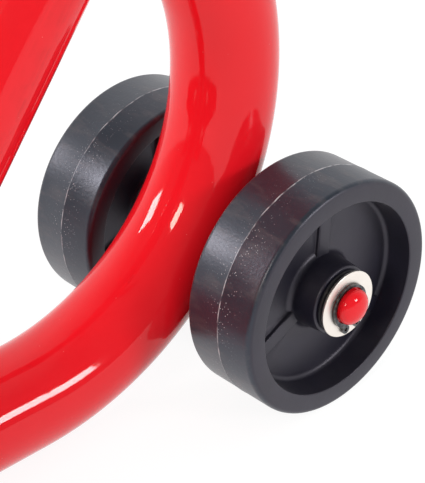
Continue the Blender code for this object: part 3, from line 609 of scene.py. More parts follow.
def turned(name, outline, placement=None, sides=ROUND_SIDES, closed=True):
    """Spins an outline of (along, radius) points round the X axis."""
    points = [(x, 0, radius) for x, radius in outline]
    if closed:
        points.append(points[0])
    made = draw_line(name, points)
    bpy.ops.mesh.spin(steps=sides, angle=math.tau, center=(0, 0, 0), axis=(1, 0, 0))
    merge_doubles()
    return settle(made, placement)


def plate_from(name, corners, thickness, placement=None):
    """A flat outline of (y, z) points at X = 0, thickened along X."""
    made = draw_line(name, [(0, y, z) for y, z in corners], closed=True)
    bpy.ops.mesh.select_all(action="SELECT")
    bpy.ops.mesh.extrude_region_move(TRANSFORM_OT_translate={"value": (thickness, 0, 0)})
    bpy.ops.mesh.select_all(action="SELECT")
    bpy.ops.mesh.normals_make_consistent(inside=False)
    return settle(made, placement)


def facing(way):
    """The turn that takes +Z to a direction."""
    return Vector(way).to_track_quat("Z", "Y").to_euler()


def rod_cutter(radius, start, end, sides=SMALL_SIDES):
    """A round cutter between two points, turned a third of a side so that no facets line up."""
    start = Vector(start)
    end = Vector(end)
    start_clean()
    bpy.ops.mesh.primitive_cylinder_add(vertices=sides, radius=radius, depth=(end - start).length)
    made = name_new("cutter")
    made.matrix_world = (Matrix.Translation((start + end) / 2) @ facing(end - start).to_matrix().to_4x4()
                         @ Matrix.Rotation(math.tau / sides / 3, 4, "Z"))
    return settle(made)


def block(name, low, high):
    """A box between two opposite corners."""
    start_clean()
    middle = (Vector(low) + Vector(high)) / 2
    bpy.ops.mesh.primitive_cube_add(size=1, location=middle, scale=Vector(high) - Vector(low))
    return settle(name_new(name))


def bend_tube(name, radius, wall, start, moves, sides=ROUND_SIDES):
    """A tube grown from a circle by straight runs and bends; a wall thickness leaves it open-ended.

    A move is ("run", vector) or ("turn", centre, axis, angle, steps)."""
    start_clean()
    bpy.ops.mesh.primitive_circle_add(vertices=sides, radius=radius, location=start,
                                      rotation=facing(moves[0][1]))
    made = name_new(name)
    edit(made)
    for kind, *numbers in moves:
        if kind == "run":
            bpy.ops.mesh.extrude_region_move(TRANSFORM_OT_translate={"value": numbers[0]})
        else:
            centre, axis, angle, steps = numbers
            bpy.ops.mesh.spin(steps=steps, angle=-angle, center=centre, axis=axis)
    merge_doubles()
    settle(made)
    apply_step(made, "SOLIDIFY", thickness=wall, offset=-1, use_even_offset=True)
    return made


def weld_bead(name, points, closed, size=WELD_BEAD):
    """A rippled bead of weld along a line of points."""
    points = [tuple(point) for point in points]
    made = draw_line(name, points + points[:1] if closed else points)
    if closed:
        bpy.ops.mesh.remove_doubles(threshold=MERGE_DISTANCE)
    settle(made)
    bpy.ops.object.convert(target="CURVE")
    made = bpy.context.object
    made.data.bevel_depth = size
    made.data.bevel_resolution = 3
    made.data.use_fill_caps = True
    for number, point in enumerate(made.data.splines[0].points):
        ripple = WELD_RIPPLE * math.sin(number * math.tau / 4)
        point.radius = 1 + ripple + WELD_UNEVENNESS * math.sin(number * 1.7)
    bpy.ops.object.convert(target="MESH")
    made = bpy.context.object
    edit(made)
    merge_doubles(BEAD_MERGE_DISTANCE)
    return settle(made)


def saddle(centre, way, radius, other_start, other_way, other_radius, steps=128):
    """Where a tube along way meets the outside of another tube, as points."""
    across = Vector((1, 0, 0))
    up = way.cross(across).normalized()
    points = []
    for step in range(steps):
        angle = math.tau * step / steps
        point = centre + radius * (math.cos(angle) * across + math.sin(angle) * up)
        offset = point - other_start
        flat = offset - other_way * offset.dot(other_way)
        slide = way - other_way * way.dot(other_way)
        reach = flat.dot(slide) ** 2 - slide.length_squared * (flat.length_squared - other_radius ** 2)
        along = (-flat.dot(slide) - math.sqrt(max(reach, 0))) / slide.length_squared
        points.append(point + way * along)
    return points


def finish_piece(piece, look, body="frame", nodes=(), angle=35):
    """Smooth shading, material, body, and the CAD nodes that the piece stands for."""
    take(piece)
    bpy.ops.object.shade_smooth_by_angle(angle=math.radians(angle))
    piece.data.materials.clear()
    piece.data.materials.append(look)
    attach(piece, body)
    if nodes:
        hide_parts(*nodes)


def copy_piece(piece, name, placement):
    """A copy with its own mesh, moved to its place."""
    made = piece.copy()
    made.data = piece.data.copy()
    made.name = name
    made.data.name = name
    bpy.context.collection.objects.link(made)
    return settle(made, placement)


PAINT = make_red_paint()
ZINC = make_plated_steel()
SPRING = make_spring_steel()
NYLON = make_plastic("bush_nylon", (0.010, 0.010, 0.014, 1), (0.016, 0.016, 0.021, 1), 0.34, 900)
GRIP_RUBBER = make_plastic("grip_rubber", (0.016, 0.016, 0.016, 1), (0.024, 0.024, 0.024, 1), 0.62, 1500)
CAP_PLASTIC = make_plastic("cap_plastic", (0.018, 0.018, 0.018, 1), (0.026, 0.026, 0.027, 1), 0.42, 1100)


# ---------------------------------------------------------------- the frame of tubes
def make_mast():
    """The straight rail, drilled for the handlebar and for the bolts of the load rests."""
    top = ON_MAST @ Vector((0, 0, MAST_LENGTH))
    start = ON_MAST @ Vector((0, 0, MAST_FOOT))
    mast = bend_tube("mast", TUBE_RADIUS, TUBE_WALL, start, [("run", top - start)])
    side = Vector((2 * TUBE_RADIUS, 0, 0))
    bar = ON_MAST @ Vector((0, 0, BAR_HEIGHT))
    cut(mast, rod_cutter(BAR_RADIUS + GAP, bar - side, bar + side))
    for height in REST_HEIGHTS.values():
        for way in (-1, 1):
            spot = height + way * REST_BOLT_SPREAD
            cut(mast, rod_cutter(REST_BOLT_RADIUS + GAP, ON_MAST @ Vector((0, -2 * TUBE_RADIUS, spot)),
                                 ON_MAST @ Vector((0, 2 * TUBE_RADIUS, spot))))
    round_edges(mast, TUBE_EDGE_ROUND, 2)
    finish_piece(mast, PAINT, nodes=["mast_tube"])


def cope(start, way, back, forward):
    """A cutter that shapes a tube's end to sit on another tube."""
    return rod_cutter(TUBE_RADIUS + WELD_GAP, start - way * back, start + way * forward, ROUND_SIDES)


def make_bow():
    """The tube that runs back along the floor, turns up round the heel and leans in to the mast."""
    moves = [("run", HEEL_START - FOOT),
             ("turn", HEEL_CENTRE, (1, 0, 0), math.pi / 2 + BOW_LEAN, 80),
             ("run", BOW_TOP - HEEL_END)]
    bow = bend_tube("rear_bow_tube", TUBE_RADIUS, TUBE_WALL, FOOT, moves)
    reach = 5 * TUBE_RADIUS
    cut(bow, cope(FOOT, MAST_WAY, reach, reach), cope(BOW_TOP, MAST_WAY, 2 * reach, 2 * reach))
    finish_piece(bow, PAINT, nodes=["rear_bow"])


def make_brace():
    """The straight tube from the foot of the mast up to the bow."""
    brace = bend_tube("brace_tube", TUBE_RADIUS, TUBE_WALL, FOOT, [("run", BRACE_TOP - FOOT)])
    reach = 5 * TUBE_RADIUS
    cut(brace, cope(FOOT, MAST_WAY, reach, 2 * reach), cope(FOOT, Vector((0, 1, 0)), reach, reach),
        cope(BRACE_TOP, BOW_WAY, reach, reach))
    finish_piece(brace, PAINT, nodes=["diagonal_brace"])


def make_frame_welds():
    """Beads round three joints: bow to mast at the top and at the foot, and brace to bow.

    Each line is traced from a place well short of its joint, so that it meets the near side."""
    top = saddle(BOW_TOP - 0.2 * BOW_WAY, BOW_WAY, TUBE_RADIUS, BOW_TOP, MAST_WAY, TUBE_RADIUS)
    brace_top = saddle(BRACE_TOP - 0.15 * BRACE_WAY, BRACE_WAY, TUBE_RADIUS, BRACE_TOP, BOW_WAY, TUBE_RADIUS)
    foot = saddle(FOOT + Vector((0, 0.1, 0)), Vector((0, -1, 0)), TUBE_RADIUS, FOOT, MAST_WAY, TUBE_RADIUS)
    for name, points in (("bow_top", top), ("brace_top", brace_top), ("bow_foot", foot)):
        bead = weld_bead("weld_" + name, points, True)
        finish_piece(bead, PAINT, angle=60)


# ---------------------------------------------------------------- toe plate and foot plate
def toe_bolt_places():
    """Where the four toe bolts sit: (x, height up the mast)."""
    return [(side * TOE_BOLT_SPREAD, height) for height in TOE_BOLT_HEIGHTS for side in (-1, 1)]


def cut_toe_bolt_holes(plate):
    """Drills a plate for the four toe bolts, square to the mast."""
    for x, z in toe_bolt_places():
        cut(plate, rod_cutter(TOE_BOLT_RADIUS + GAP, ON_MAST @ Vector((x, -3 * TUBE_RADIUS, z)),
                              ON_MAST @ Vector((x, 0, z))))


def select_faces(piece, chosen):
    """In edit mode, selects the faces for which a test of (middle, normal) holds."""
    bpy.ops.mesh.select_all(action="DESELECT")
    bpy.ops.object.mode_set(mode="OBJECT")
    for face in piece.data.polygons:
        face.select = chosen(face.center, face.normal)
    bpy.ops.object.mode_set(mode="EDIT")


def make_toe_plate():
    """A plate on the floor with rounded front corners, bent up at the back along the mast."""
    front = -TOE_DEPTH / 2
    plate = block("toe_plate_steel", (-TOE_WIDTH / 2, front, 0), (TOE_WIDTH / 2, -front, TOE_THICKNESS))
    edit(plate, "FACE")
    select_faces(plate, lambda middle, normal: normal.y > 0.9)
    bend_centre = (0, TOE_DEPTH / 2, TOE_THICKNESS / 2 + TOE_BEND)
    bpy.ops.mesh.spin(steps=16, angle=-(math.pi / 2 - MAST_LEAN), center=bend_centre, axis=(1, 0, 0))
    bpy.ops.mesh.extrude_region_move(TRANSFORM_OT_translate={"value": MAST_WAY * TOE_UPSTAND})
    bpy.ops.mesh.select_all(action="SELECT")
    bpy.ops.mesh.remove_doubles(threshold=MERGE_DISTANCE)
    bpy.ops.mesh.delete_loose()
    drop_inner_faces()
    bpy.ops.mesh.select_mode(type="EDGE")
    bpy.ops.mesh.select_all(action="DESELECT")
    bpy.ops.object.mode_set(mode="OBJECT")
    corners = plate.data.vertices
    for edge in plate.data.edges:
        ends = [corners[index].co for index in edge.vertices]
        at_front = all(abs(end.y - front) < MERGE_DISTANCE for end in ends)
        edge.select = at_front and abs(ends[0].x - ends[1].x) < MERGE_DISTANCE
    bpy.ops.object.mode_set(mode="EDIT")
    bpy.ops.mesh.bevel(offset=TOE_CORNER, segments=12, affect="EDGES")
    bpy.ops.object.mode_set(mode="OBJECT")
    settle(plate)
    inner = TOE_UPSTAND_TOP_WIDTH / 2
    wide = TOE_WIDTH / 2 + TOE_CORNER
    low = FOOT_PLATE_START
    high = low + TOE_UPSTAND
    for side in (-1, 1):
        outline = ((wide, low), (wide, high), (inner, high), (inner, low + TOE_SHOULDER_RISE))
        shoulder = plate_from("cutter", [(-side * x, z) for x, z in outline], 4 * TOE_THICKNESS,
                              ON_MAST @ Matrix.Translation((0, -TOE_MIDDLE_DEPTH - 2 * TOE_THICKNESS, 0))
                              @ ALONG_Y)
        cut(plate, shoulder)
    cut_toe_bolt_holes(plate)
    round_edges(plate, PLATE_EDGE_ROUND)
    finish_piece(plate, PAINT, nodes=["toe_plate"])


def drop_inner_faces():
    """In edit mode, deletes the faces that an extrusion left inside a closed body."""
    bpy.ops.mesh.select_all(action="DESELECT")
    bpy.ops.mesh.select_mode(type="FACE")
    bpy.ops.mesh.select_interior_faces()
    bpy.ops.mesh.delete(type="FACE")
    bpy.ops.mesh.select_all(action="SELECT")
    bpy.ops.mesh.normals_make_consistent(inside=False)


def make_foot_plate():
    """The plate welded across the mast's front, which the toe plate is bolted to."""
    back = -TUBE_RADIUS - GAP
    half = FOOT_PLATE_WIDTH / 2
    low = FOOT_PLATE_START
    high = low + FOOT_PLATE_HEIGHT
    corners = ((-half, low), (half, low), (half, high), (-half, high))
    outline = rounded([(x, z, FOOT_PLATE_CORNER) for x, z in corners])
    plate = plate_from("foot_plate", outline, FOOT_PLATE_THICKNESS,
                       ON_MAST @ Matrix.Translation((0, back - FOOT_PLATE_THICKNESS, 0)) @ ALONG_Y)
    cut_toe_bolt_holes(plate)
    round_edges(plate)
    finish_piece(plate, PAINT, nodes=["mast_foot_plate"])
    length = FOOT_PLATE_HEIGHT - 2 * FOOT_WELD_STOP
    for name, side in (("left", -1), ("right", 1)):
        points = []
        for step in range(64):
            height = low + FOOT_WELD_STOP + length * step / 63
            points.append(ON_MAST @ Vector((side * FOOT_WELD_SPREAD, back + FOOT_WELD_RISE, height)))
        finish_piece(weld_bead("weld_foot_plate_" + name, points, False), PAINT, angle=60)


# ---------------------------------------------------------------- bolts, washers and nuts
def make_bolt(radius, grip):
    """A button-head bolt with a hexagon socket and a threaded tail, along +X from under its head."""
    head = radius * HEAD_RATIO
    dome = radius * HEAD_DOME_RATIO
    pitch = radius * THREAD_PITCH_RATIO
    thread_start = grip - THREAD_TURNS * pitch
    corners = [(-dome, 0, 0), (-dome, head * HEAD_FLAT_RATIO, head * HEAD_ROUND_RATIO),
               (-GAP - dome * HEAD_RIM_RATIO, head, 0.0004), (-GAP, head, 0.0002), (-GAP, radius, 0),
               (thread_start, radius, 0)]
    for turn in range(THREAD_TURNS):
        corners.append((thread_start + (turn + 0.5) * pitch, radius * THREAD_ROOT_RATIO, 0))
        corners.append((thread_start + (turn + 0.9) * pitch, radius, 0))
    corners[-1] = (grip, radius * BOLT_POINT_RATIO, 0)
    corners.append((grip, 0, 0))
    bolt = turned("bolt", rounded(corners), None, SMALL_SIDES, closed=False)
    socket_floor = (1 - SOCKET_DEPTH_RATIO) * dome
    cut(bolt, plate_from("cutter", hexagon(radius * SOCKET_RATIO), dome,
                         Matrix.Translation((-socket_floor - dome, 0, 0))))
    return bolt


def hexagon(corner):
    """Six corners at a radius."""
    return [(corner * math.cos(math.tau * step / 6), corner * math.sin(math.tau * step / 6))
            for step in range(6)]


def make_washer(radius, thickness):
    """A flat washer for a bolt of a radius, along +X from the origin."""
    bore = radius + GAP
    outer = radius * HEAD_RATIO
    rim = thickness / 4
    corners = [(0, bore, rim), (0, outer, rim), (thickness, outer, rim), (thickness, bore, rim)]
    return turned("washer", rounded(corners, steps=3), None, SMALL_SIDES)


def make_nut(radius, thickness):
    """A hexagon nut with turned-off corners."""
    bore = radius + GAP
    corner = bore * NUT_CORNER_RATIO
    nut = plate_from("nut", hexagon(corner), thickness)
    flat = corner * math.cos(math.pi / 6)
    slope = (corner - flat) * NUT_CORNER_SLOPE
    barrel = turned("cutter", [(0, 0), (0, flat), (slope, corner + GAP), (thickness - slope, corner + GAP),
                               (thickness, flat), (thickness, 0)], None, SMALL_SIDES, closed=False)
    cut(nut, barrel, operation="INTERSECT")
    chamfer = radius * NUT_CHAMFER_RATIO
    hole = turned("cutter", [(-chamfer, 0), (-chamfer, bore + 2 * chamfer), (chamfer, bore),
                             (thickness - chamfer, bore), (thickness + chamfer, bore + 2 * chamfer),
                             (thickness + chamfer, 0)], None, SMALL_SIDES, closed=False)
    cut(nut, hole)
    return nut


def make_fasteners(kinds, places, face, back, radius, washer):
    """Bolts through what lies between face and back, each with its washer and nut behind.

    Each place is (end of the names, x, z). One bolt, washer and nut are modelled and then copied, each
    turned by a different angle, since nobody lines up bolt heads."""
    nut = radius * NUT_HEIGHT_RATIO
    grip = back - face + washer + nut + 3 * GAP + BOLT_TAIL
    patterns = (("bolt", make_bolt(radius, grip), face), ("washer", make_washer(radius, washer), back + GAP),
                ("nut", make_nut(radius, nut), back + 2 * GAP + washer))
    for kind, pattern, y in patterns:
        for number, (tail, x, z) in enumerate(places):
            spin = Matrix.Rotation(FIRST_BOLT_TURN + number * NEXT_BOLT_TURN, 4, "X")
            piece = copy_piece(pattern, "%s_%s_steel_%s" % (kinds, kind, tail),
                               ON_MAST @ Matrix.Translation((x, y, z)) @ ALONG_Y @ spin)
            finish_piece(piece, ZINC, nodes=["%s_%s_%s" % (kinds, kind, tail)], angle=28)
        bpy.data.objects.remove(pattern)


def make_toe_fasteners():
    """Four bolts through the toe plate's upstand and the foot plate."""
    face = -TOE_MIDDLE_DEPTH - TOE_THICKNESS / 2
    places = [(str(number), x, z) for number, (x, z) in enumerate(toe_bolt_places(), 1)]
    make_fasteners("toe", places, face, -TUBE_RADIUS - GAP, TOE_BOLT_RADIUS, TOE_BOLT_WASHER)


# ---------------------------------------------------------------- load rests
def make_load_rests():
    """Two curved strips with rounded corners, hollow towards the load, each on two bolts."""
    face = -TUBE_RADIUS - GAP - REST_THICKNESS
    centre = face - REST_CURVE
    outside = REST_CURVE + REST_THICKNESS
    half_turn = REST_WIDTH / 2 / REST_CURVE
    outline = []
    for radius, way in ((REST_CURVE, 1), (outside, -1)):
        for step in range(73):
            angle = way * half_turn * (step / 36 - 1)
            outline.append((radius * math.sin(angle), centre + radius * math.cos(angle)))
    flat_to_upright = Matrix(((0, 1, 0), (0, 0, 1), (1, 0, 0))).to_4x4()
    half_height = REST_HEIGHT / 2
    strip = plate_from("rest_strip", outline, REST_HEIGHT + 2 * REST_THICKNESS,
                       Matrix.Translation((0, 0, -half_height - REST_THICKNESS)) @ flat_to_upright)
    reach = outside * math.sin(half_turn) - GAP
    corners = ((-reach, -half_height), (reach, -half_height), (reach, half_height), (-reach, half_height))
    window = rounded([(x, z, REST_CORNER) for x, z in corners], steps=10)
    cut(strip, plate_from("cutter", window, REST_CURVE, Matrix.Translation((0, -REST_CURVE, 0)) @ ALONG_Y),
        operation="INTERSECT")
    for way in (-1, 1):
        spot = Vector((0, 0, way * REST_BOLT_SPREAD))
        cut(strip, rod_cutter(REST_BOLT_RADIUS + GAP, spot + Vector((0, 2 * face, 0)), spot))
    round_edges(strip, PLATE_EDGE_ROUND)
    head = REST_BOLT_RADIUS * HEAD_RATIO
    seat = centre + math.sqrt(REST_CURVE ** 2 - head ** 2)
    places = []
    for place, height in REST_HEIGHTS.items():
        rest = copy_piece(strip, "rest_strip_" + place, ON_MAST @ Matrix.Translation((0, 0, height)))
        finish_piece(rest, PAINT, nodes=["load_rest_" + place])
        places += [(place + "_1", 0, height - REST_BOLT_SPREAD), (place + "_2", 0, height + REST_BOLT_SPREAD)]
    bpy.data.objects.remove(strip)
    make_fasteners("rest", places, seat, TUBE_RADIUS, REST_BOLT_RADIUS, REST_BOLT_WASHER)


# ---------------------------------------------------------------- handle
def make_handlebar():
    """A bar through the mast with both ends swept back, and the welds where it crosses."""
    middle = BAR_MIDDLE / 2
    end_way = Vector((math.cos(BAR_SWEEP), math.sin(BAR_SWEEP), 0)) * BAR_END
    reach_x = middle + BAR_BEND_RADIUS * math.sin(BAR_SWEEP)
    reach_y = BAR_BEND_RADIUS * (1 - math.cos(BAR_SWEEP))
    start = Vector((-reach_x - end_way.x, reach_y + end_way.y, 0))
    moves = [("run", Vector((end_way.x, -end_way.y, 0))),
             ("turn", (-middle, BAR_BEND_RADIUS, 0), (0, 0, 1), BAR_SWEEP, 20),
             ("run", (BAR_MIDDLE, 0, 0)),
             ("turn", (middle, BAR_BEND_RADIUS, 0), (0, 0, 1), BAR_SWEEP, 20),
             ("run", end_way)]
    bar = bend_tube("handle_bar_tube", BAR_RADIUS, BAR_WALL, start, moves, SMALL_SIDES)
    settle(bar, ON_MAST @ Matrix.Translation((0, 0, BAR_HEIGHT)))
    finish_piece(bar, PAINT, nodes=["handlebar"])
    weld_rise = WELD_BEAD / 5
    for name, side in (("left", -1), ("right", 1)):
        points = []
        for step in range(96):
            angle = math.tau * step / 96
            up = (BAR_RADIUS + weld_rise) * math.cos(angle)
            back = (BAR_RADIUS + weld_rise) * math.sin(angle)
            reach = math.sqrt(TUBE_RADIUS ** 2 - back ** 2) + weld_rise
            points.append(ON_MAST @ Vector((side * reach, back, BAR_HEIGHT + up)))
        finish_piece(weld_bead("weld_handle_" + name, points, True), PAINT, angle=60)


def make_grips():
    """A grooved rubber sleeve with a collar and a closed, rounded end on each end of the bar."""
    reach_x = BAR_MIDDLE / 2 + BAR_BEND_RADIUS * math.sin(BAR_SWEEP) + BAR_END * math.cos(BAR_SWEEP)
    reach_y = BAR_BEND_RADIUS * (1 - math.cos(BAR_SWEEP)) + BAR_END * math.sin(BAR_SWEEP)
    bore = BAR_RADIUS + GAP
    tip = GAP + GRIP_END_WALL
    mouth = tip - GRIP_LENGTH
    collar = GRIP_RADIUS + GRIP_COLLAR
    collar_end = mouth + GRIP_COLLAR_LENGTH
    corners = [(GAP, 0, 0), (GAP, bore, 0), (mouth, bore, 0.0004), (mouth, collar, 0.0010),
               (collar_end, collar, 0.0012), (collar_end + GRIP_COLLAR_SLOPE, GRIP_RADIUS, 0.0012)]
    root = GRIP_RADIUS - GRIP_GROOVE_DEPTH
    for groove in range(GRIP_GROOVES):
        near = mouth + GRIP_FIRST_GROOVE + groove * GRIP_GROOVE_PITCH
        far = near + GRIP_GROOVE_WIDTH
        corners += [(near, GRIP_RADIUS, 0.0005), (near + RIB_FLANK, root, 0.0004),
                    (far - RIB_FLANK, root, 0.0004), (far, GRIP_RADIUS, 0.0005)]
    corners += [(tip, GRIP_RADIUS, GRIP_END_ROUND), (tip, 0, 0)]
    outline = rounded(corners, steps=4)
    for name, side in (("left", -1), ("right", 1)):
        heading = BAR_SWEEP if side > 0 else math.pi - BAR_SWEEP
        grip = turned("grip_sleeve_" + name, outline,
                      ON_MAST @ Matrix.Translation((side * reach_x, reach_y, BAR_HEIGHT))
                      @ Matrix.Rotation(heading, 4, "Z"), SMALL_SIDES * 2, closed=False)
        finish_piece(grip, GRIP_RUBBER, nodes=["grip_" + name])


def make_mast_cap():
    """A plastic plug with ribs inside the tube and a softly domed top."""
    bore = TUBE_RADIUS - TUBE_WALL - GAP
    root = bore - CAP_RIB_DEPTH
    start = MAST_LENGTH - CAP_DEPTH
    flange = MAST_LENGTH + GAP
    top = flange + CAP_FLANGE
    corners = [(start, 0, 0), (start, root, 0.0006)]
    for rib in range(CAP_RIBS):
        near = start + CAP_FIRST_RIB + rib * CAP_RIB_PITCH
        far = near + CAP_RIB_WIDTH
        corners += [(near, root, 0), (near + RIB_FLANK, bore, 0.0002), (far - RIB_FLANK, bore, 0.0002),
                    (far, root, 0)]
    corners += [(flange, root, 0), (flange, TUBE_RADIUS, 0.0004), (top - CAP_EDGE, TUBE_RADIUS, CAP_EDGE),
                (top - CAP_EDGE / 3, TUBE_RADIUS - CAP_CROWN, 0.003), (top, 0, 0)]
    cap = turned("cap_plug", rounded(corners, steps=4), ON_MAST @ ALONG_Z, closed=False)
    finish_piece(cap, CAP_PLASTIC, nodes=["mast_cap"])


# ---------------------------------------------------------------- axle and its fittings
def make_axle():
    """A round bar welded across the heel, with grooved necks for the circlips and domed ends."""
    near = CIRCLIP_X - GAP
    groove = AXLE_RADIUS - GROOVE_DEPTH
    half = [(near, AXLE_RADIUS), (near + GROOVE_NEAR_FLANK, groove), (AXLE_HALF - GROOVE_FAR_FLANK, groove),
            (AXLE_HALF, AXLE_END_RADIUS)]
    for step in range(1, 16):
        angle = math.pi / 2 * step / 16
        half.append((AXLE_HALF + AXLE_DOME * math.sin(angle), AXLE_END_RADIUS * math.cos(angle)))
    half.append((AXLE_HALF + AXLE_DOME, 0))
    other = [(-x, radius) for x, radius in reversed(half)]
    axle = turned("axle_bar", other + half, Matrix.Translation(AXLE), ROUND_SIDES, closed=False)
    finish_piece(axle, PAINT, nodes=["axle_rod"], angle=40)
    outward = (AXLE - HEEL_CENTRE).normalized()
    along_heel = Vector((1, 0, 0)).cross(outward)
    for name, side in (("upper", 1), ("lower", -1)):
        points = []
        for step in range(33):
            x = AXLE_WELD_REACH * (step / 16 - 1)
            skin = BEND_RADIUS + math.sqrt(TUBE_RADIUS ** 2 - x ** 2)
            spread = AXLE_WELD_SPREAD + (BEND_RADIUS + TUBE_RADIUS - skin) / 4
            rise = outward * (skin + AXLE_WELD_RISE)
            points.append(HEEL_CENTRE + Vector((x, 0, 0)) + rise + along_heel * side * spread)
        bead = weld_bead("weld_axle_" + name, points, False, AXLE_WELD_BEAD)
        finish_piece(bead, PAINT, angle=60)


def make_ring(thickness, bore, outer, fillet):
    """A flat ring along X from the origin, with its edges rounded."""
    corners = [(0, bore, fillet), (0, outer, fillet), (thickness, outer, fillet), (thickness, bore, fillet)]
    return turned("ring", rounded(corners, steps=4))


def make_axle_washer(bore):
    """A washer along X from the origin, with a narrower shoulder behind its bright rim."""
    step = WASHER_THICKNESS - WASHER_RIM
    corners = [(0, bore, 0.0003), (0, WASHER_SHOULDER_RADIUS, 0.0003), (step, WASHER_SHOULDER_RADIUS, 0),
               (step, WASHER_RADIUS, 0.0003), (WASHER_THICKNESS, WASHER_RADIUS, 0.0003),
               (WASHER_THICKNESS, bore, 0.0003)]
    return turned("ring", rounded(corners, steps=4))


def make_circlip():
    """A spring ring along X from the origin, with two drilled, rounded ears beside its opening.

    The ring's ends lie inside the ears, which are a touch thinner, so that no flat faces coincide."""
    start = CIRCLIP_EAR_ANGLE - 0.5 * CIRCLIP_EAR_RADIUS / CIRCLIP_EAR_PLACE
    sweep = math.tau - 2 * start
    outline = []
    for rim, swell, way in ((CIRCLIP_RADIUS, CIRCLIP_SWELL, 1), (CIRCLIP_BORE, 0, -1)):
        for step in range(81):
            angle = way * (start + sweep * step / 80)
            radius = rim + swell * max(0, math.cos(angle)) ** 2
            outline.append((radius * math.cos(angle), radius * math.sin(angle)))
    ring = plate_from("circlip", outline, CIRCLIP_THICKNESS)
    shave = Vector((CIRCLIP_THICKNESS / 50, 0, 0))
    depth = Vector((CIRCLIP_THICKNESS, 0, 0))
    spots = [Vector((0, CIRCLIP_EAR_PLACE * math.cos(angle), CIRCLIP_EAR_PLACE * math.sin(angle)))
             for angle in (-CIRCLIP_EAR_ANGLE, CIRCLIP_EAR_ANGLE)]
    for spot in spots:
        cut(ring, rod_cutter(CIRCLIP_EAR_RADIUS, spot + shave, spot + depth - shave), operation="UNION")
    for spot in spots:
        cut(ring, rod_cutter(CIRCLIP_HOLE_RADIUS, spot - depth, spot + 2 * depth, 24))
    return settle(ring, Matrix.Rotation(CIRCLIP_OPENING, 4, "X"))


def make_axle_fittings():
    """Spacer, washer and circlip, modelled once and copied to both ends of the axle."""
    bore = AXLE_RADIUS + GAP
    spacer_end = WHEEL_X - BUSH_END - GAP
    kinds = [("axle_spacer_", "spacer_", make_ring(spacer_end - SPACER_INNER_X, bore, SPACER_RADIUS, 0.0005),
              SPACER_INNER_X, PAINT, "red_paint"),
             ("axle_washer_", "washer_plate_", make_axle_washer(bore),
              WASHER_X, ZINC, "zinc_plate"),
             ("circlip_", "circlip_ring_", make_circlip(), CIRCLIP_X, SPRING, "spring_steel")]
    for node, name, pattern, near, look, slot in kinds:
        for side, x, turn in (("left", -near, math.pi), ("right", near, 0)):
            placement = Matrix.Translation(AXLE + Vector((x, 0, 0))) @ Matrix.Rotation(turn, 4, "Z")
            piece = copy_piece(pattern, name + side, placement)
            finish_piece(piece, look, nodes=[node + side], angle=30)
        bpy.data.objects.remove(pattern)


# ---------------------------------------------------------------- wheels
def wheel_outline():
    """The wheel's half section from the bore round the tread and back, as (along, radius) points."""
    face = WHEEL_WIDTH / 2
    web = face - WEB_DEPTH
    inside = WHEEL_RADIUS - RIM_WALL
    tread = WHEEL_RADIUS - PARTING_LINE
    corners = [(HUB_END, HUB_BORE, 0.0004), (HUB_END, HUB_RADIUS, 0.0011), (web, HUB_BASE_RADIUS, HUB_FILLET),
               (web, inside - RIM_DRAFT, RECESS_FILLET), (face, inside, 0.0006),
               (face, tread, WHEEL_EDGE_ROUND), (2 * PARTING_LINE_HALF_WIDTH, tread, 0),
               (PARTING_LINE_HALF_WIDTH / 2, WHEEL_RADIUS, 0)]
    return rounded(corners + [(-x, radius, fillet) for x, radius, fillet in reversed(corners)])


def make_spokes():
    """Three raised spokes on each side of the web, flared where they leave it, as one cutter."""
    face = WHEEL_WIDTH / 2
    web = face - WEB_DEPTH - SPOKE_SEAT
    foot = web - SPOKE_SINK
    top = face - SPOKE_DEPTH
    half = SPOKE_WIDTH / 2
    crest = half - SPOKE_DRAFT
    flare = half + SPOKE_FILLET
    fillet = SPOKE_FILLET * 0.9
    corners = [(-flare, foot, 0), (flare, foot, 0), (flare, web, 0), (half, web, fillet),
               (crest, top, 0.0007), (-crest, top, 0.0007), (-half, web, fillet), (-flare, web, 0)]
    start = math.sqrt(HUB_RADIUS ** 2 - flare ** 2) - GAP
    spoke = plate_from("spoke", rounded(corners, steps=5), WHEEL_RADIUS - RIM_WALL + SPOKE_SINK - start,
                       Matrix.Translation((start, 0, 0)))
    spokes = []
    for side in (-1, 1):
        facing_side = Matrix(((0, 0, side), (1, 0, 0), (0, side, 0))).to_4x4()
        for number in range(SPOKE_COUNT):
            angle = SPOKE_ANGLE + math.tau * number / SPOKE_COUNT
            spokes.append(copy_piece(spoke, "spoke", Matrix.Rotation(angle, 4, "X") @ facing_side))
    bpy.data.objects.remove(spoke)
    start_clean()
    for piece in spokes:
        piece.select_set(True)
    bpy.context.view_layer.objects.active = spokes[0]
    bpy.ops.object.join()
    return spokes[0]


def make_bush():
    """A flanged sleeve whose flange faces +X."""
    flange = HUB_END + GAP
    corners = [(HUB_END - BUSH_LENGTH, BUSH_BORE, 0), (HUB_END - BUSH_LENGTH, BUSH_RADIUS, 0.0004),
               (flange, BUSH_RADIUS, 0), (flange, BUSH_FLANGE_RADIUS, 0.0002),
               (BUSH_END, BUSH_FLANGE_RADIUS, 0.0002), (BUSH_END, BUSH_BORE, 0.0002)]
    return turned("bush", rounded(corners, steps=3))


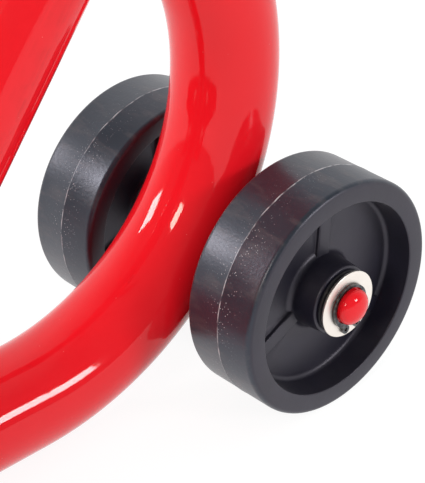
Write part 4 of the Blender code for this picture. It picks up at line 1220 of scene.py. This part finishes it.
def make_wheels():
    """Two moulded wheels, each with a flanged bush in both ends of its hub."""
    wheel = turned("wheel_moulding", wheel_outline(), None, WHEEL_SIDES)
    cut(wheel, make_spokes(), operation="UNION")
    bush = make_bush()
    for side, way in (("left", -1), ("right", 1)):
        centre = AXLE + Vector((way * WHEEL_X, 0, 0))
        body = "wheel_" + side
        there = Matrix.Translation(centre)
        tyre = copy_piece(wheel, "moulded_wheel_" + side, there)
        rubber = make_wheel_rubber("wheel_rubber_" + side, centre)
        finish_piece(tyre, rubber, body, [body], 30)
        for end, flange_way in (("inner", -way), ("outer", way)):
            turn = Matrix.Rotation(0 if flange_way > 0 else math.pi, 4, "Z")
            sleeve = copy_piece(bush, "bush_sleeve_%s_%s" % (side, end), there @ turn)
            finish_piece(sleeve, NYLON, body, ["bush_%s_%s" % (side, end)])
    bpy.data.objects.remove(wheel)
    bpy.data.objects.remove(bush)


make_mast()
make_bow()
make_brace()
make_frame_welds()
make_toe_plate()
make_foot_plate()
make_toe_fasteners()
make_load_rests()
make_handlebar()
make_grips()
make_mast_cap()
make_axle()
make_axle_fittings()
make_wheels()

# ---------------------------------------------------------------- floor, light, camera
FLOOR_SIZE = 14.0
FLOOR_GLOW = 1.13
FLOOR_GLOW_SHARE = 0.8          # how much of what the camera sees of the floor is glow
SWEEP_WAY = (-0.70, 0.67, -0.25)
LAMP_TARGET = Vector((0, 0.3, 0.1))
LAMP_DISTANCE = 2.2
LENS = 134.8                    # millimetres
CAMERA_FROM_AXLE = Vector((0.4533, -0.4399, 0.3906))
CAMERA_TILT = math.radians(58.155)
CAMERA_HEADING = math.radians(46.41)


def make_floor():
    """A pale floor that glows to the camera, so that it stays white and still takes a soft shadow."""
    start_clean()
    bpy.ops.mesh.primitive_plane_add(size=FLOOR_SIZE, location=(0, 0, 0))
    floor = name_new("floor")
    made, tree, shader = new_material("pale_floor")
    shader.inputs["Base Color"].default_value = (0.82, 0.82, 0.82, 1)
    shader.inputs["Roughness"].default_value = 0.9
    shader.inputs["Specular IOR Level"].default_value = 0.0
    light_path = add_node(tree, "LightPath")
    seen = maths(tree, "MAXIMUM", light_path.outputs["Is Camera Ray"], light_path.outputs["Is Glossy Ray"])
    glow = add_node(tree, "Emission", None, Color=(1, 1, 1, 1), Strength=FLOOR_GLOW)
    mix = add_node(tree, "MixShader", None, Fac=maths(tree, "MULTIPLY", seen, FLOOR_GLOW_SHARE))
    tree.links.new(shader.outputs[0], mix.inputs[1])
    tree.links.new(glow.outputs[0], mix.inputs[2])
    tree.links.new(mix.outputs[0], tree.nodes["Material Output"].inputs["Surface"])
    floor.data.materials.append(made)


def make_world():
    """Soft white light all round; glossy pieces mirror a white sweep behind and a dimmer room in front."""
    world = bpy.data.worlds.new("studio")
    world.use_nodes = True
    bpy.context.scene.world = world
    tree = world.node_tree
    soft = tree.nodes["Background"]
    soft.inputs["Color"].default_value = (1, 1, 1, 1)
    soft.inputs["Strength"].default_value = 0.75
    way = add_node(tree, "TexCoord").outputs["Generated"]
    towards_sweep = add_node(tree, "VectorMath", {"operation": "DOT_PRODUCT"}, Vector=way)
    towards_sweep.inputs[1].default_value = SWEEP_WAY
    sweep = remap(tree, towards_sweep.outputs["Value"], -0.25, 0.45, 0.22, 1.0)
    white = add_node(tree, "Background", None, Color=(1, 1, 1, 1), Strength=1.0)
    mirrored = add_node(tree, "Background", None, Color=(1, 1, 1, 1), Strength=sweep)
    light_path = add_node(tree, "LightPath")
    camera_ray = light_path.outputs["Is Camera Ray"]
    seen = maths(tree, "MAXIMUM", camera_ray, light_path.outputs["Is Transmission Ray"])
    glossy = add_node(tree, "MixShader", None, Fac=light_path.outputs["Is Glossy Ray"])
    tree.links.new(soft.outputs[0], glossy.inputs[1])
    tree.links.new(mirrored.outputs[0], glossy.inputs[2])
    mix = add_node(tree, "MixShader", None, Fac=seen)
    tree.links.new(glossy.outputs[0], mix.inputs[1])
    tree.links.new(white.outputs[0], mix.inputs[2])
    tree.links.new(mix.outputs[0], tree.nodes["World Output"].inputs["Surface"])


def add_softbox(name, azimuth, elevation, width, power, colour=(1, 1, 1)):
    """A square soft lamp that looks at the heel; its azimuth grows from the load side towards +X."""
    turn = math.radians(azimuth)
    rise = math.radians(elevation)
    way = Vector((math.sin(turn) * math.cos(rise), -math.cos(turn) * math.cos(rise), math.sin(rise)))
    lamp = bpy.data.lights.new(name, "AREA")
    lamp.shape = "SQUARE"
    lamp.size = width
    lamp.energy = power
    lamp.color = colour
    made = bpy.data.objects.new(name, lamp)
    bpy.context.collection.objects.link(made)
    made.location = LAMP_TARGET + way * LAMP_DISTANCE
    made.rotation_euler = facing(way)
    made.visible_camera = False


def make_camera():
    """A long lens above the load side, close on the wheels and the heel."""
    data = bpy.data.cameras.new("camera")
    data.lens = LENS
    camera = bpy.data.objects.new("camera", data)
    bpy.context.collection.objects.link(camera)
    camera.location = AXLE + CAMERA_FROM_AXLE
    camera.rotation_euler = (CAMERA_TILT, 0, CAMERA_HEADING)
    bpy.context.scene.camera = camera


make_floor()
make_world()
add_softbox("softbox_left", -46, 24, 0.52, 18)
add_softbox("softbox_front", 22, 29, 0.38, 11, (1.0, 0.93, 0.80))
add_softbox("softbox_right", 114, 16, 0.42, 13)
make_camera()
bpy.context.scene.view_settings.view_transform = "Standard"
